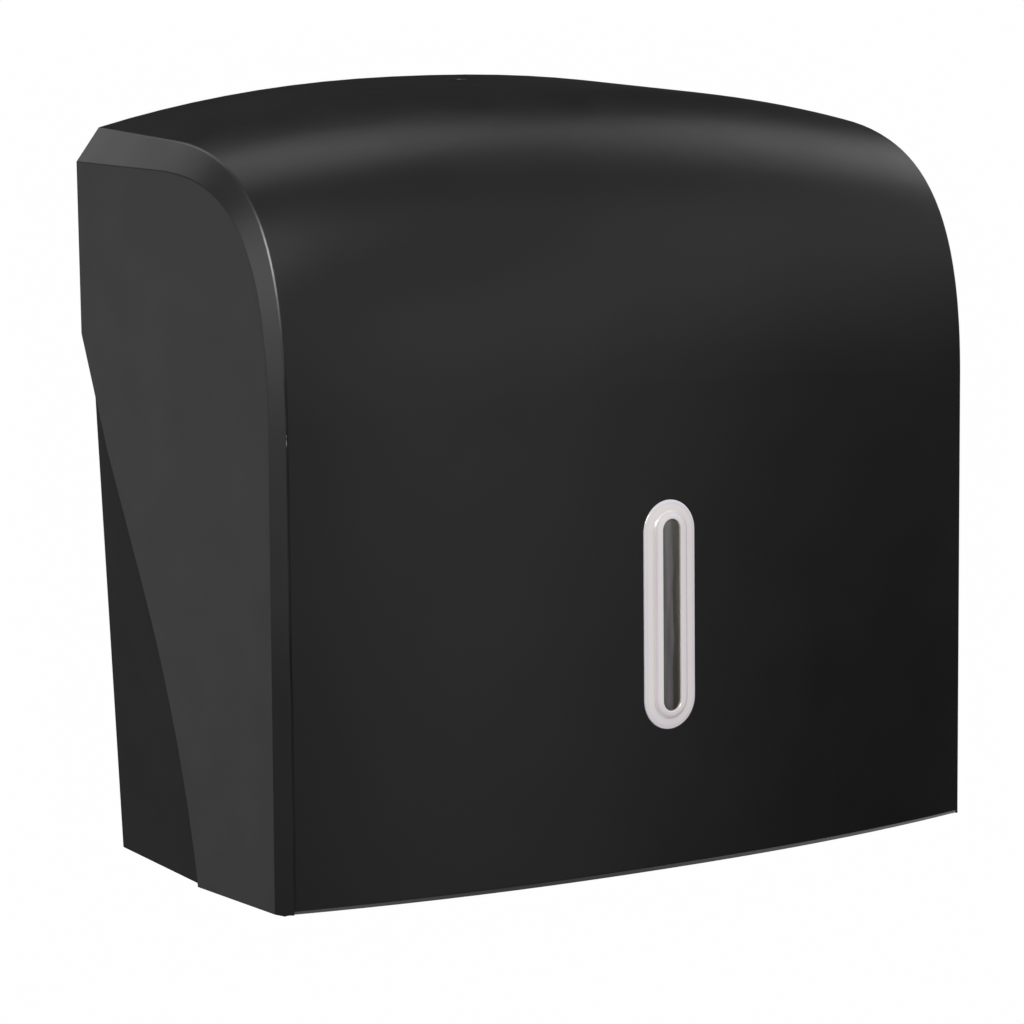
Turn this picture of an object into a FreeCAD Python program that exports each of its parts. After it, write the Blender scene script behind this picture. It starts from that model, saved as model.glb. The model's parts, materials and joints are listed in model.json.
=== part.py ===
import FreeCAD, Part
import math
import os

import Sketcher
from FreeCAD import Placement, Rotation, Vector

# Wall-mounted dispenser for a stack of folded paper towels. Millimetres.
# X runs across, -Y points away from the wall (Y = 0 is the wall), Z points up.
# Depths count from the wall and heights from a datum just above the cover's lower edge;
# every sub-part is then lowered by mount_height, so the origin is the screw pattern's centre.

doc = FreeCAD.newDocument("towel_dispenser")
sheet = doc.addObject("Spreadsheet::Sheet", "sizes")

driving_sizes = [
    # the cover's outside
    ("width", 280, "across the cheeks at the wall"),
    ("front_flare", 2.2, "further out that each cheek stands at the front"),
    ("cheek_draft", 0.9, "further in that each side stands at its foot"),
    ("edge_height", 243, "top surface at its side edges, at the wall"),
    ("edge_fall", 0.03, "fall of the top surface per millimetre forward"),
    ("edge_depth", 131.8, "front surface at its side edges, at the foot"),
    ("front_lean", 0.015, "lean of the front surface per millimetre up"),
    ("shoulder_start", 55, "depth where the top begins to round over"),
    ("shoulder_end", 153, "height where the rounding meets the front"),
    ("shoulder_fullness", 0.72, "how far the rounding fills its corner"),
    ("crown_rise", 14, "rise of the top from its side edges to the middle"),
    ("front_bow", 15.1, "bulge of the front from its side edges to the middle"),
    ("crown_power", 2.2, "shape of the crown and of the bow"),
    ("bevel_run_wall", 9, "corner bevel at the wall, across"),
    ("bevel_drop_wall", 11.2, "corner bevel at the wall, down to the cheek"),
    ("bevel_run_front", 2.35, "corner bevel at the front, across"),
    ("bevel_drop_front", 8.35, "corner bevel at the front, back to the cheek"),
    ("cheek_lean", 0.005, "lean of the cheeks' front edges per millimetre up"),
    ("bevel_round", 1, "rounding between the corner bevel and the crowned middle"),
    ("cheek_round", 0.5, "rounding between the corner bevel and the cheek"),
    ("cover_wall", 2.5, "cover's wall"),
    ("front_drop", 1.75, "front's lower edge below the datum"),
    ("foot_drop", 2.7, "cheeks' feet below the datum"),
    ("foot_width", 2.1, "cheeks' feet under the front, across"),
    ("foot_corner", 1.5, "rounding between the front's lower edge and the feet"),
    ("edge_bevel", 1.9, "bevel along the front's lower edge, in the middle"),
    ("edge_bevel_end", 1.3, "bevel along the front's lower edge, at its ends"),
    ("wall_gap", 0.3, "gap between the cover and the wall at the top"),
    ("rear_lean", 0.026, "lean of the cheeks' rear edges off the wall per millimetre down"),
    ("seam_height", 179.1, "height where the line of the rear edge's slant meets the wall"),
    ("seam_angle", 23.2, "slant of the rear edge from upright, degrees"),
    ("seam_bend", 136.3, "height where the slant grows"),
    ("seam_low_angle", 27.5, "slant below that, degrees"),
    ("seam_knee", 92, "height where the rear edge starts to round upright"),
    ("seam_radius", 358, "radius of that rounding"),
    ("lip_width", 11.8, "lower lip, back from the front's side edges"),
    ("lip_thickness", 2.5, "lower lip"),
    ("cover_rib_offset", 70, "stiffening ribs, each side of the middle"),
    ("cover_rib_height", 4, "stiffening ribs, off the inner face"),
    ("cover_rib_thickness", 1.6, "stiffening ribs"),
    ("cover_rib_setback", 10, "stiffening ribs stop short of wall and foot"),
    # the housing
    ("housing_wall", 2.5, "housing's wall"),
    ("housing_drop", 4.4, "housing's floor below the datum"),
    ("flank_inset", 15.3, "flank's lower rear corner, in from the cheek"),
    ("flank_rise", 0.0564, "widening of the flanks per millimetre up"),
    ("flank_splay", 0.138, "widening of the flanks per millimetre forward"),
    ("flank_gap", 0.6, "gap between flank and cheek"),
    ("flank_cover", 5, "how far the flank runs under the cheek"),
    ("hinge_room", 11, "housing's front part, in from the cheek's outside"),
    ("side_top_drop", 19, "top of the sides below the cover's edge"),
    ("side_top_reach", 36, "depth of the sides at their top"),
    ("side_knee", 45, "height where the sides reach full depth"),
    ("lip_gap", 10, "between the housing's front and the cover's lip"),
    ("ledge_height", 12, "retaining ledge in front of the towels"),
    ("plate_gap", 9, "back plate's top below the cover's crown"),
    ("plate_corner", 8, "cut corner of the back plate, down"),
    ("plate_corner_run", 4, "cut corner of the back plate, across"),
    ("plate_rib_pitch", 45, "between the back plate's ribs"),
    ("plate_rib_height", 3, "back plate's ribs and screw bosses"),
    ("plate_rib_thickness", 2, "back plate's ribs"),
    ("plate_rib_foot", 20, "lower end of the ribs"),
    ("plate_rib_head", 210, "upper end of the ribs"),
    ("shelf_half", 30, "lock shelf, half its width"),
    ("shelf_reach", 36, "lock shelf's depth"),
    ("gusset_height", 22, "gussets under the shelf"),
    ("mount_height", 125, "screw pattern's centre above the datum"),
    ("mount_across", 180, "wall screws, hole to hole across"),
    ("mount_up", 130, "wall screws, hole to hole upright"),
    ("mount_hole_radius", 2.6, "wall screw holes"),
    ("mount_boss_radius", 7, "bosses around the wall screw holes"),
    # dispensing slot and towel guides
    ("throat_length", 200, "slot in the floor, across"),
    ("throat_width", 40, "slot in the floor, front to back"),
    ("throat_depth", 62, "slot's centre from the wall"),
    ("liner_wall", 2, "slot liner"),
    ("liner_flange", 4, "liner's flange past the slot"),
    ("liner_flange_thickness", 1.2, "liner's flange"),
    ("guide_gap", 0.47, "between the towel guide's foot and the flank"),
    ("guide_thickness", 1.5, "towel guides"),
    ("guide_rear", 15, "towel guide's rear edge"),
    ("guide_length", 60, "towel guides, front to back"),
    ("guide_height", 140, "towel guides"),
    ("guide_corner", 10, "cut upper corners of the towel guides"),
    ("guide_foot", 4.3, "foot of each guide"),
    ("guide_peg_radius", 2, "pegs under the guide's foot"),
    ("guide_peg_inset", 10, "pegs, in from the guide's ends"),
    ("peg_clearance", 0.05, "around pegs, bushes and bores"),
    # hinge
    ("hinge_setback", 8, "hinge line behind the housing's front"),
    ("hinge_height", 10, "hinge line above the datum"),
    ("pin_radius", 3, "hinge pins"),
    ("pin_head_radius", 5, "hinge pin heads"),
    ("pin_head_thickness", 1.5, "hinge pin heads"),
    ("pin_reach", 6, "length of the pin inside its bush"),
    ("pin_clearance", 0.05, "running fit between pin and bush"),
    ("bush_wall", 1.5, "hinge bushes"),
    ("bush_flange", 1, "bush flange between housing and cover boss"),
    ("bush_gap", 0.5, "play between bush flange and housing"),
    ("boss_wall", 2.5, "hinge bosses around bush and pin"),
    ("boss_inside", 3, "housing's boss, inwards"),
    ("open_angle", 95, "how far the cover swings, degrees"),
    ("stop_arm", 11, "stop pegs from the hinge line"),
    ("stop_radius", 2, "stop pegs"),
    ("stop_play", 1, "left between the stops when fully open, degrees"),
    ("stop_gap", 1, "stop pegs end this far from the facing wall"),
    # towel window
    ("window_height", 84.3, "window's centre"),
    ("window_straight", 55.8, "between the centres of its round ends"),
    ("bezel_radius", 10.5, "bezel's outer edge"),
    ("bezel_proud", 0.3, "bezel's flange above the cover"),
    ("bezel_recess", 0.9, "recess in the cover for the flange"),
    ("bezel_gap", 0.15, "between the flange and the edge of its recess"),
    ("window_seat", 2.2, "flat behind the cover's face for the clip ring"),
    ("window_seat_margin", 1, "flat around the clip ring"),
    ("ring_radius", 6.6, "raised inner ring"),
    ("ring_height", 1.4, "raised inner ring above the flange"),
    ("slot_radius", 3.6, "bezel's slot"),
    ("slot_straight", 57, "between the centres of the slot's round ends"),
    ("lens_radius", 5.5, "lens"),
    ("lens_setback", 0.8, "lens behind the raised ring's face"),
    ("lens_thickness", 2, "lens"),
    ("tube_radius", 7.5, "bezel's neck through the cover"),
    ("tube_reach", 4.5, "neck behind the cover's face"),
    ("retainer_radius", 11, "clip ring"),
    ("retainer_back", 1, "clip ring's rear web"),
    ("retainer_view", 4.2, "clip ring's opening"),
    # cam lock
    ("lock_depth", 22, "lock's axis from the wall"),
    ("lock_cover", 2.9, "lock's face below the cover's outside"),
    ("lock_radius", 6, "lock body"),
    ("lock_length", 18, "lock body"),
    ("lock_boss_radius", 9, "boss around the lock body, and the body's flange"),
    ("lock_boss_length", 12, "boss around the lock body"),
    ("lock_flange_thickness", 2, "lock body's flange under the boss"),
    ("lock_ear_offset", 12, "lock screws, each side of the lock's axis"),
    ("lock_ear_radius", 4.5, "ends of flange and boss around the lock screws"),
    ("key_hole_radius", 3.4, "hole in the cover above the key slot"),
    ("barrel_head_radius", 4.9, "barrel's head"),
    ("barrel_head_recess", 1.5, "recess in the lock body for the head"),
    ("barrel_head_gap", 0.1, "head below the lock body's face"),
    ("barrel_radius", 4, "barrel"),
    ("barrel_proud", 0.5, "barrel below the lock body"),
    ("key_slot_length", 6, "key slot"),
    ("key_slot_width", 1.2, "key slot"),
    ("key_slot_depth", 4, "key slot"),
    ("cam_half_width", 4, "cam's arm"),
    ("cam_reach", 16, "cam's tip from the lock's axis"),
    ("cam_hub_radius", 5.5, "cam's hub"),
    ("cam_thickness", 2.5, "cam"),
    ("cam_screw_radius", 1.5, "cam screw"),
    ("cam_screw_length", 7.5, "cam screw under its head"),
    ("cam_screw_head_radius", 3.5, "cam screw's head"),
    ("cam_screw_head", 2, "cam screw's head"),
    # catch
    ("catch_play", 1.5, "between the locked cam and the catch"),
    ("catch_thickness", 1.5, "catch"),
    ("catch_half", 24, "catch's base, half its width"),
    ("catch_rear", 10, "rear edge of the catch's base"),
    ("catch_tab_near", 10, "tab's edge nearest the lock's axis"),
    ("catch_tab_width", 10, "tab"),
    ("catch_overlap", 3.5, "tab above the cam's lower face"),
    ("catch_screw_offset", 16, "catch screws, each side of the middle"),
    ("catch_screw_depth", 18, "catch screws from the wall"),
    # screws of catch and lock
    ("screw_radius", 1.6, "screws"),
    ("screw_bite", 8, "lock screws inside the boss"),
    ("screw_head_radius", 3.2, "screw heads"),
    ("screw_head", 1.8, "screw heads"),
    ("cross_reach", 1.9, "cross in the screw heads, from its middle"),
    ("cross_half", 0.4, "cross in the screw heads, half its width"),
    ("cross_depth", 0.9, "cross in the screw heads"),
]

for row, (alias, value, note) in enumerate(driving_sizes, start=1):
    sheet.set("A%d" % row, note)
    sheet.set("B%d" % row, str(value))
    sheet.setAlias("B%d" % row, alias)
doc.recompute()


class Cells:
    """Reads one driving size from the sheet by its alias."""

    def __getattr__(self, alias):
        return float(sheet.get(alias))


cell = Cells()
pieces = []

# Places that several sub-parts share, as rules for the sheet.
housing_foot = "(-sizes.housing_drop)"
floor_top = "(%s + sizes.housing_wall)" % housing_foot
housing_top = "(sizes.edge_height - sizes.side_top_drop)"
lip_rear = "(sizes.edge_depth - sizes.lip_width)"
housing_front = "(%s - sizes.lip_gap)" % lip_rear
hinge_depth = "(%s - sizes.hinge_setback)" % housing_front
crown_top = "(sizes.edge_height + sizes.crown_rise)"
lock_face = "(%s - sizes.edge_fall * sizes.lock_depth - sizes.lock_cover)" % crown_top
lock_foot = "(%s - sizes.lock_length)" % lock_face
lock_boss_foot = "(%s - sizes.lock_boss_length)" % lock_face
cam_foot = "(%s - sizes.barrel_proud - sizes.cam_thickness)" % lock_foot
catch_depth = "(sizes.lock_depth + sizes.cam_half_width + sizes.catch_play)"
inner_half = "(sizes.width / 2 - sizes.hinge_room)"
bush_start = "(%s + sizes.bush_gap)" % inner_half
flank_corner = "(sizes.width / 2 - sizes.flank_inset - sizes.housing_wall)"
guide_outside = "(%s + sizes.flank_splay * sizes.guide_rear - sizes.guide_gap)" % flank_corner
guide_half = "(%s - sizes.guide_foot)" % guide_outside


def number(rule):
    """Value of a rule such as 'sizes.width / 2'."""
    value = sheet.evalExpression(str(rule))
    return float(getattr(value, "Value", value))


# ---------------------------------------------------------------- sketches and bodies

def new_body(label):
    piece = doc.addObject("PartDesign::Body", label)
    piece.Label = label
    pieces.append(piece)
    return piece


def new_sketch(piece, role, lift):
    """Sketch parallel to one of the body's origin planes, lifted along its normal."""
    base = [plane for plane in piece.Origin.OriginFeatures if plane.Role == role][0]
    sketch = piece.newObject("Sketcher::SketchObject", piece.Name + "_sketch")
    sketch.AttachmentSupport = [(base, "")]
    sketch.MapMode = "FlatFace"
    sketch.setExpression("AttachmentOffset.Base.z", str(lift))
    return sketch


def bind(sketch, kind, first, second, rule):
    """Adds a dimension between two sketch points, or on one curve, and ties it to a rule."""
    value = number(rule)
    if second is None:
        index = sketch.addConstraint(Sketcher.Constraint(kind, first, value))
    else:
        index = sketch.addConstraint(Sketcher.Constraint(kind, *first, *second, value))
    sketch.setExpression("Constraints[%d]" % index, str(rule))


def pin_point(sketch, point, across, up):
    bind(sketch, "DistanceX", (-1, 1), point, across)
    bind(sketch, "DistanceY", (-1, 1), point, up)


def draw_circle(sketch, radius, across="0", up="0"):
    centre = Vector(number(across), number(up), 0)
    index = sketch.addGeometry(Part.Circle(centre, Vector(0, 0, 1), number(radius)))
    bind(sketch, "Radius", index, None, radius)
    pin_point(sketch, (index, 3), across, up)


def draw_polygon(sketch, corners):
    """Closed outline through corners, each a pair of rules."""
    points = [Vector(number(across), number(up), 0) for across, up in corners]
    count = len(points)
    first = sketch.GeometryCount
    for i in range(count):
        sketch.addGeometry(Part.LineSegment(points[i], points[(i + 1) % count]))
    for i in range(count):
        follower = first + (i + 1) % count
        sketch.addConstraint(Sketcher.Constraint("Coincident", first + i, 2, follower, 1))
    for i, (across, up) in enumerate(corners):
        pin_point(sketch, (first + i, 1), across, up)


def draw_box(sketch, left, right, low, high):
    draw_polygon(sketch, [(left, low), (right, low), (right, high), (left, high)])


def draw_stadium(sketch, radius, straight, upright, centre=("0", "0")):
    """Slot outline: two half circles whose centres lie straight apart."""
    half = number(straight) / 2
    size = number(radius)
    middle = Vector(number(centre[0]), number(centre[1]), 0)
    turn = 0 if upright else -90
    start = sketch.GeometryCount
    spin = Rotation(Vector(0, 0, 1), turn)
    axis = Vector(0, 0, 1)
    ends = []
    for sign in (1, -1):
        hub = middle + spin.multVec(Vector(0, sign * half, 0))
        begin = math.radians(turn + (0 if sign > 0 else 180))
        arc = Part.ArcOfCircle(Part.Circle(hub, axis, size), begin, begin + math.pi)
        ends.append(sketch.addGeometry(arc))
    sides = []
    for first, second in ((0, 1), (1, 0)):
        tail = sketch.getPoint(ends[first], 2)
        head = sketch.getPoint(ends[second], 1)
        sides.append(sketch.addGeometry(Part.LineSegment(tail, head)))
        sketch.addConstraint(Sketcher.Constraint("Coincident", ends[first], 2, sides[-1], 1))
        sketch.addConstraint(Sketcher.Constraint("Coincident", sides[-1], 2, ends[second], 1))
    level = "Horizontal" if upright else "Vertical"
    for end in ends:
        sketch.addConstraint(Sketcher.Constraint(level, end, 3, end, 1))
        sketch.addConstraint(Sketcher.Constraint(level, end, 3, end, 2))
    bind(sketch, "Radius", start, None, radius)
    bind(sketch, "Radius", start + 1, None, radius)
    for end, sign in zip(ends, ("+", "-")):
        along = " %s (%s) / 2" % (sign, straight)
        if upright:
            pin_point(sketch, (end, 3), centre[0], centre[1] + along)
        else:
            pin_point(sketch, (end, 3), centre[0] + along, centre[1])


def pad(piece, role, low, high, draw, *args, **more):
    """Adds a slab between two levels above an origin plane, with the outline that draw makes."""
    sketch = new_sketch(piece, role, low)
    draw(sketch, *args, **more)
    feature = piece.newObject("PartDesign::Pad", piece.Name + "_pad")
    feature.Profile = sketch
    feature.setExpression("Length", "(%s) - (%s)" % (high, low))
    return feature


def pocket(piece, role, low, high, draw, *args, **more):
    """Cuts the outline that draw makes from the upper level down to the lower one."""
    doc.recompute()
    before = piece.Shape.Volume
    sketch = new_sketch(piece, role, high)
    draw(sketch, *args, **more)
    feature = piece.newObject("PartDesign::Pocket", piece.Name + "_pocket")
    feature.Profile = sketch
    feature.setExpression("Length", "(%s) - (%s)" % (high, low))
    doc.recompute()
    if piece.Shape.Volume >= before:
        raise RuntimeError("%s: %s cuts nothing" % (piece.Label, feature.Name))
    return feature


def place(piece, across="0", depth="0", up="0", turned=None):
    """Places a body, given half a turn about an axis where turned names one."""
    if turned:
        piece.Placement = Placement(Vector(0, 0, 0), Rotation(turned, 180))
    piece.setExpression("Placement.Base.x", across)
    piece.setExpression("Placement.Base.y", "-(%s)" % depth)
    piece.setExpression("Placement.Base.z", "%s - sizes.mount_height" % up)


def add_feature(label, shape):
    """A sub-part whose shape comes from Part's own functions."""
    piece = doc.addObject("Part::Feature", label)
    piece.Label = label
    piece.Shape = shape
    piece.Placement = Placement(Vector(0, 0, -cell.mount_height), Rotation())
    pieces.append(piece)


# ---------------------------------------------------------------- the crowned shell

def mitre(run, drop):
    """How far an inset moves the bevel's two corners, as shares of the inset."""
    slope = math.hypot(run, drop)
    return (slope - run) / drop, (slope - drop) / run


def side_outline(top, fall, depth, lean, start, end, rear, foot):
    """Closed side view as (depth, height) runs: rear, top, shoulder, front, foot."""
    corner_depth = (depth - lean * top) / (1 - lean * fall)
    corner = Vector(corner_depth, top - fall * corner_depth)
    above = Vector(start, top - fall * start)
    below = Vector(depth - lean * end, end)
    full = cell.shoulder_fullness
    shoulder = [above, above + (corner - above) * full, below + (corner - below) * full, below]
    rear_top = Vector(rear, top - fall * rear)
    rear_foot = Vector(rear, foot)
    front_foot = Vector(depth - lean * foot, foot)
    return [[rear_foot, rear_top], [rear_top, above], shoulder,
            [below, front_foot], [front_foot, rear_foot]]


def outline_wire(runs, across):
    """Wire of a side view, set across by a function of depth and height."""
    edges = []
    for run in runs:
        poles = [Vector(across(p.x, p.y), -p.x, p.y) for p in run]
        curve = Part.BezierCurve()
        curve.setPoles(poles)
        edges.append(curve.toShape())
    return Part.Wire(edges)


def draft(height):
    """How much further in the sides stand at a height."""
    side_top = cell.edge_height - cell.bevel_drop_wall
    return cell.cheek_draft * (side_top - height) / side_top


def crown_half(inset):
    """Half width of the crowned middle, as a function of depth and height."""
    wall_shift, _ = mitre(cell.bevel_run_wall, cell.bevel_drop_wall)
    front_shift, _ = mitre(cell.bevel_run_front, cell.bevel_drop_front)
    half_wall = cell.width / 2 - cell.bevel_run_wall - wall_shift * inset
    half_front = cell.width / 2 + cell.front_flare - cell.bevel_run_front - front_shift * inset
    widening = (half_front - half_wall) / cell.edge_depth
    return lambda depth, height: half_wall + widening * depth - draft(height)


def cheek_half(inset):
    """Half width across the cheeks, as a function of depth and height."""
    widening = cell.front_flare / cell.edge_depth
    return lambda depth, height: cell.width / 2 + widening * depth - draft(height) - inset


def crowned_loft(side_view, inset):
    """Loft across the crowned middle of side views; side_view takes the swell up and out."""
    half = crown_half(inset)

    def section(share):
        crown = 1 - abs(share) ** cell.crown_power
        up = 1 + cell.crown_rise * crown / cell.edge_height
        out = 1 + cell.front_bow * crown / cell.edge_depth
        return outline_wire(side_view(up, out), lambda depth, height: share * half(depth, height))

    steps = 4
    wires = [section(i / steps) for i in range(-steps, steps + 1)]
    return Part.makeLoft(wires, True, False), wires[0], wires[-1]


def crown_solid(inset, rear, foot):
    """The cover's full volume, inset from its outside all round, open sides run on."""
    _, wall_cheek = mitre(cell.bevel_run_wall, cell.bevel_drop_wall)
    _, front_cheek = mitre(cell.bevel_run_front, cell.bevel_drop_front)
    cheek_height = cell.edge_height - cell.bevel_drop_wall
    cheek_depth = cell.edge_depth - cell.bevel_drop_front

    def side_view(up, out):
        return side_outline(cell.edge_height * up - inset, cell.edge_fall,
                            cell.edge_depth * out - inset, cell.front_lean,
                            cell.shoulder_start * out, cell.shoulder_end * up, rear, foot)

    def cheek(sign):
        runs = side_outline(cheek_height - wall_cheek * inset, 0, cheek_depth - front_cheek * inset,
                            cell.cheek_lean, cell.shoulder_start, cell.shoulder_end, rear, foot)
        half = cheek_half(inset)
        return outline_wire(runs, lambda depth, height: sign * half(depth, height))

    middle, left, right = crowned_loft(side_view, inset)
    caps = [Part.makeLoft([left, cheek(-1)], True, True), Part.makeLoft([right, cheek(1)], True, True)]
    return middle.fuse(caps)


def edge_bevel_cut():
    """What the bevel along the front's lower edge takes away; it fades towards the ends."""
    growth = (cell.edge_bevel - cell.edge_bevel_end) * cell.edge_depth / cell.front_bow
    foot = -cell.front_drop

    def side_view(up, out):
        depth = cell.edge_depth * out
        size = cell.edge_bevel_end + growth * (out - 1)
        inner = Vector(depth - 2 * size, foot - size)
        outer = Vector(depth + size, foot + 2 * size)
        under = Vector(depth + size, foot - size)
        return [[inner, outer], [outer, under], [under, inner]]

    return crowned_loft(side_view, 0)[0]


def round_along(solid, half_width, radius):
    """Rounds the edges that run along a line, except where it lies at the wall or the foot."""
    box = solid.BoundBox
    edges = []
    for edge in solid.Edges:
        ends = [vertex.Point for vertex in edge.Vertexes]
        along = all(abs(abs(end.x) - half_width(-end.y, end.z)) < box.XLength * 1e-6 for end in ends)
        at_wall = all(abs(end.y + cell.wall_gap) < 1e-4 for end in ends)
        at_foot = all(abs(end.z + cell.foot_drop) < 1e-4 for end in ends)
        if along and not at_wall and not at_foot:
            edges.append(edge)
    return solid.makeFillet(radius, edges)


def slab(x_low, x_high, depth_low, depth_high, z_low, z_high):
    """Box given by its limits; depth counts forward from the wall."""
    corner = Vector(x_low, -depth_high, z_low)
    return Part.makeBox(x_high - x_low, depth_high - depth_low, z_high - z_low, corner)


def behind_seam(shift, half):
    """Everything behind the cheek's rear edge, moved forward by shift."""
    slope = math.tan(math.radians(cell.seam_angle))
    low_slope = math.tan(math.radians(cell.seam_low_angle))
    lean = math.radians(cell.seam_low_angle)
    radius = cell.seam_radius
    top = 2 * cell.edge_height
    # the upright part above the kink leans off the wall towards it
    kink = cell.seam_height * slope - cell.wall_gap - cell.rear_lean * cell.edge_height
    kink = kink / (slope - cell.rear_lean)
    bend_depth = (cell.seam_height - cell.seam_bend) * slope
    knee_depth = bend_depth + (cell.seam_bend - cell.seam_knee) * low_slope
    low = math.asin(math.sin(lean) - (cell.seam_knee + 2 * cell.housing_drop) / radius)

    def point(depth, height):
        return Vector(-half, -depth - shift, height)

    def rounding(angle):
        height = cell.seam_knee - radius * (math.sin(lean) - math.sin(angle))
        return point(knee_depth + radius * (math.cos(angle) - math.cos(lean)), height)

    arc = Part.Arc(rounding(lean), rounding((lean + low) / 2), rounding(low)).toShape()
    corner = Vector(-half, cell.cover_wall, rounding(low).z)
    rest = Part.makePolygon([
        rounding(low), corner, Vector(-half, cell.cover_wall, top),
        point(cell.wall_gap + cell.rear_lean * (cell.edge_height - top), top),
        point((cell.seam_height - kink) * slope, kink),
        point(bend_depth, cell.seam_bend), rounding(lean)])
    return Part.Face(Part.Wire([arc] + rest.Edges)).extrude(Vector(2 * half, 0, 0))


def rod(radius, start, end):
    """Cylinder between two points."""
    way = end - start
    return Part.makeCylinder(radius, way.Length, start, way)


def window_cut(radius, near, deep):
    """Stadium cut between two depths behind the cover's face."""
    half = cell.window_straight / 2
    tilt = -math.degrees(math.atan(cell.front_lean))
    face = cell.edge_depth + cell.front_bow - cell.front_lean * cell.window_height
    ends = [Part.makeCylinder(radius, deep - near, Vector(0, near, side * half), Vector(0, 1, 0))
            for side in (-1, 1)]
    block = Part.makeBox(2 * radius, deep - near, 2 * half, Vector(-radius, near, -half))
    cutter = block.fuse(ends)
    cutter.Placement = Placement(Vector(0, -face, cell.window_height), Rotation(Vector(1, 0, 0), tilt))
    return cutter


def stop_place(sign, turn, near, far):
    """Stop peg on one side, turned about the hinge line from straight above it."""
    angle = math.radians(turn)
    depth = number(hinge_depth) - cell.stop_arm * math.sin(angle)
    height = cell.hinge_height + cell.stop_arm * math.cos(angle)
    return rod(cell.stop_radius, Vector(sign * near, -depth, height), Vector(sign * far, -depth, height))


def make_front_cover():
    half = cell.width / 2 + cell.front_flare
    below = -2 * cell.foot_drop
    beyond = 2 * cell.edge_depth
    lip_start = number(lip_rear)
    outside = crown_solid(0, cell.wall_gap, -cell.foot_drop)
    outside = round_along(outside, crown_half(0), cell.bevel_round)
    outside = round_along(outside, cheek_half(0), cell.cheek_round)
    inside = crown_solid(cell.cover_wall, -cell.cover_wall, below)
    shell = outside.cut(inside)
    # front's lower edge, above the feet, with rounded inner corners
    notch_half = half - cell.foot_width
    notch = slab(-notch_half, notch_half, lip_start, beyond, below, -cell.front_drop)
    corners = [edge for edge in notch.Edges
               if edge.BoundBox.XLength < 1e-6 and edge.BoundBox.ZMin > -cell.front_drop - 1e-6]
    shell = shell.cut(notch.makeFillet(cell.foot_corner, corners))
    shell = shell.cut(behind_seam(0, half + cell.cover_wall))
    # lower lip and stiffening ribs
    lip_top = cell.lip_thickness - cell.front_drop
    extras = [inside.common(slab(-half, half, lip_start, beyond, -cell.front_drop, lip_top))]
    core = crown_solid(cell.cover_wall + cell.cover_rib_height, -cell.cover_wall, below)
    web = inside.cut(core)
    rib_start = cell.cover_rib_setback
    for sign in (-1, 1):
        near = sign * cell.cover_rib_offset - cell.cover_rib_thickness / 2
        far = near + cell.cover_rib_thickness
        extras.append(web.common(slab(near, far, rib_start, beyond, rib_start, 2 * cell.edge_height)))
    # hinge bosses and stop pegs inside the cheeks
    hinge = Vector(0, -number(hinge_depth), cell.hinge_height)
    boss_start = number(bush_start) + cell.bush_flange
    bush_radius = cell.pin_radius + cell.bush_wall
    cheek_turn = cell.open_angle + cell.stop_play
    cheek_turn += math.degrees(2 * math.asin(cell.stop_radius / cell.stop_arm))
    peg_start = number(inner_half) + cell.stop_gap
    for sign in (-1, 1):
        across = Vector(sign, 0, 0)
        boss = rod(bush_radius + cell.boss_wall, hinge + across * boss_start, hinge + across * half)
        extras.append(boss.common(inside))
        extras.append(stop_place(sign, cheek_turn, peg_start, half).common(inside))
    # lock boss with ears for its screws
    face = Vector(0, -cell.lock_depth, number(lock_face))
    boss_foot = Vector(0, -cell.lock_depth, number(lock_boss_foot))
    top = Vector(0, -cell.lock_depth, 2 * cell.edge_height)
    ear = Vector(cell.lock_ear_offset, 0, 0)
    boss = [rod(cell.lock_boss_radius, boss_foot, top),
            rod(cell.lock_ear_radius, boss_foot + ear, top + ear),
            rod(cell.lock_ear_radius, boss_foot - ear, top - ear),
            slab(-ear.x, ear.x, cell.lock_depth - cell.lock_ear_radius,
                 cell.lock_depth + cell.lock_ear_radius, boss_foot.z, top.z)]
    extras.extend(part.common(inside) for part in boss)
    shell = shell.fuse(extras)
    # edge bevel, openings for bushes, lock and window
    clear = 2 * cell.cover_wall
    bite = Vector(0, 0, cell.screw_bite)
    cuts = [edge_bevel_cut(),
            rod(cell.key_hole_radius, boss_foot, top),
            rod(cell.lock_radius + cell.peg_clearance, boss_foot, face),
            rod(cell.screw_radius, boss_foot + ear, boss_foot + ear + bite),
            rod(cell.screw_radius, boss_foot - ear, boss_foot - ear + bite),
            window_cut(cell.bezel_radius + cell.bezel_gap, -clear, cell.bezel_recess),
            window_cut(cell.tube_radius + cell.peg_clearance, -clear, clear),
            window_cut(cell.retainer_radius + cell.window_seat_margin, cell.window_seat, clear)]
    for sign in (-1, 1):
        across = Vector(sign, 0, 0)
        bottom = number(bush_start) + cell.bush_flange + cell.pin_reach
        cuts.append(rod(bush_radius, hinge, hinge + across * bottom))
    add_feature("front_cover", shell.cut(cuts).removeSplitter())


# ---------------------------------------------------------------- the housing

def flank_hull(inset):
    """Volume between the flanks, narrower at the wall and at the foot."""
    foot = number(housing_foot) + inset
    top = number(housing_top)
    reach = cell.edge_depth
    beyond = cell.housing_wall

    def ring(height):
        wall_half = cell.width / 2 - cell.flank_inset - inset
        wall_half += cell.flank_rise * (height - number(housing_foot))
        rear_half = wall_half - cell.flank_splay * beyond
        front_half = wall_half + cell.flank_splay * reach
        points = [Vector(-rear_half, beyond, height), Vector(rear_half, beyond, height),
                  Vector(front_half, -reach, height), Vector(-front_half, -reach, height)]
        return Part.makePolygon(points + points[:1])

    hull = Part.makeLoft([ring(foot - beyond), ring(top + beyond)], True, True)
    limit = cell.width / 2 - cell.cover_wall - cell.cheek_draft - cell.flank_gap - inset
    return hull.common(slab(-limit, limit, 0, reach, foot, top))


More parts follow.
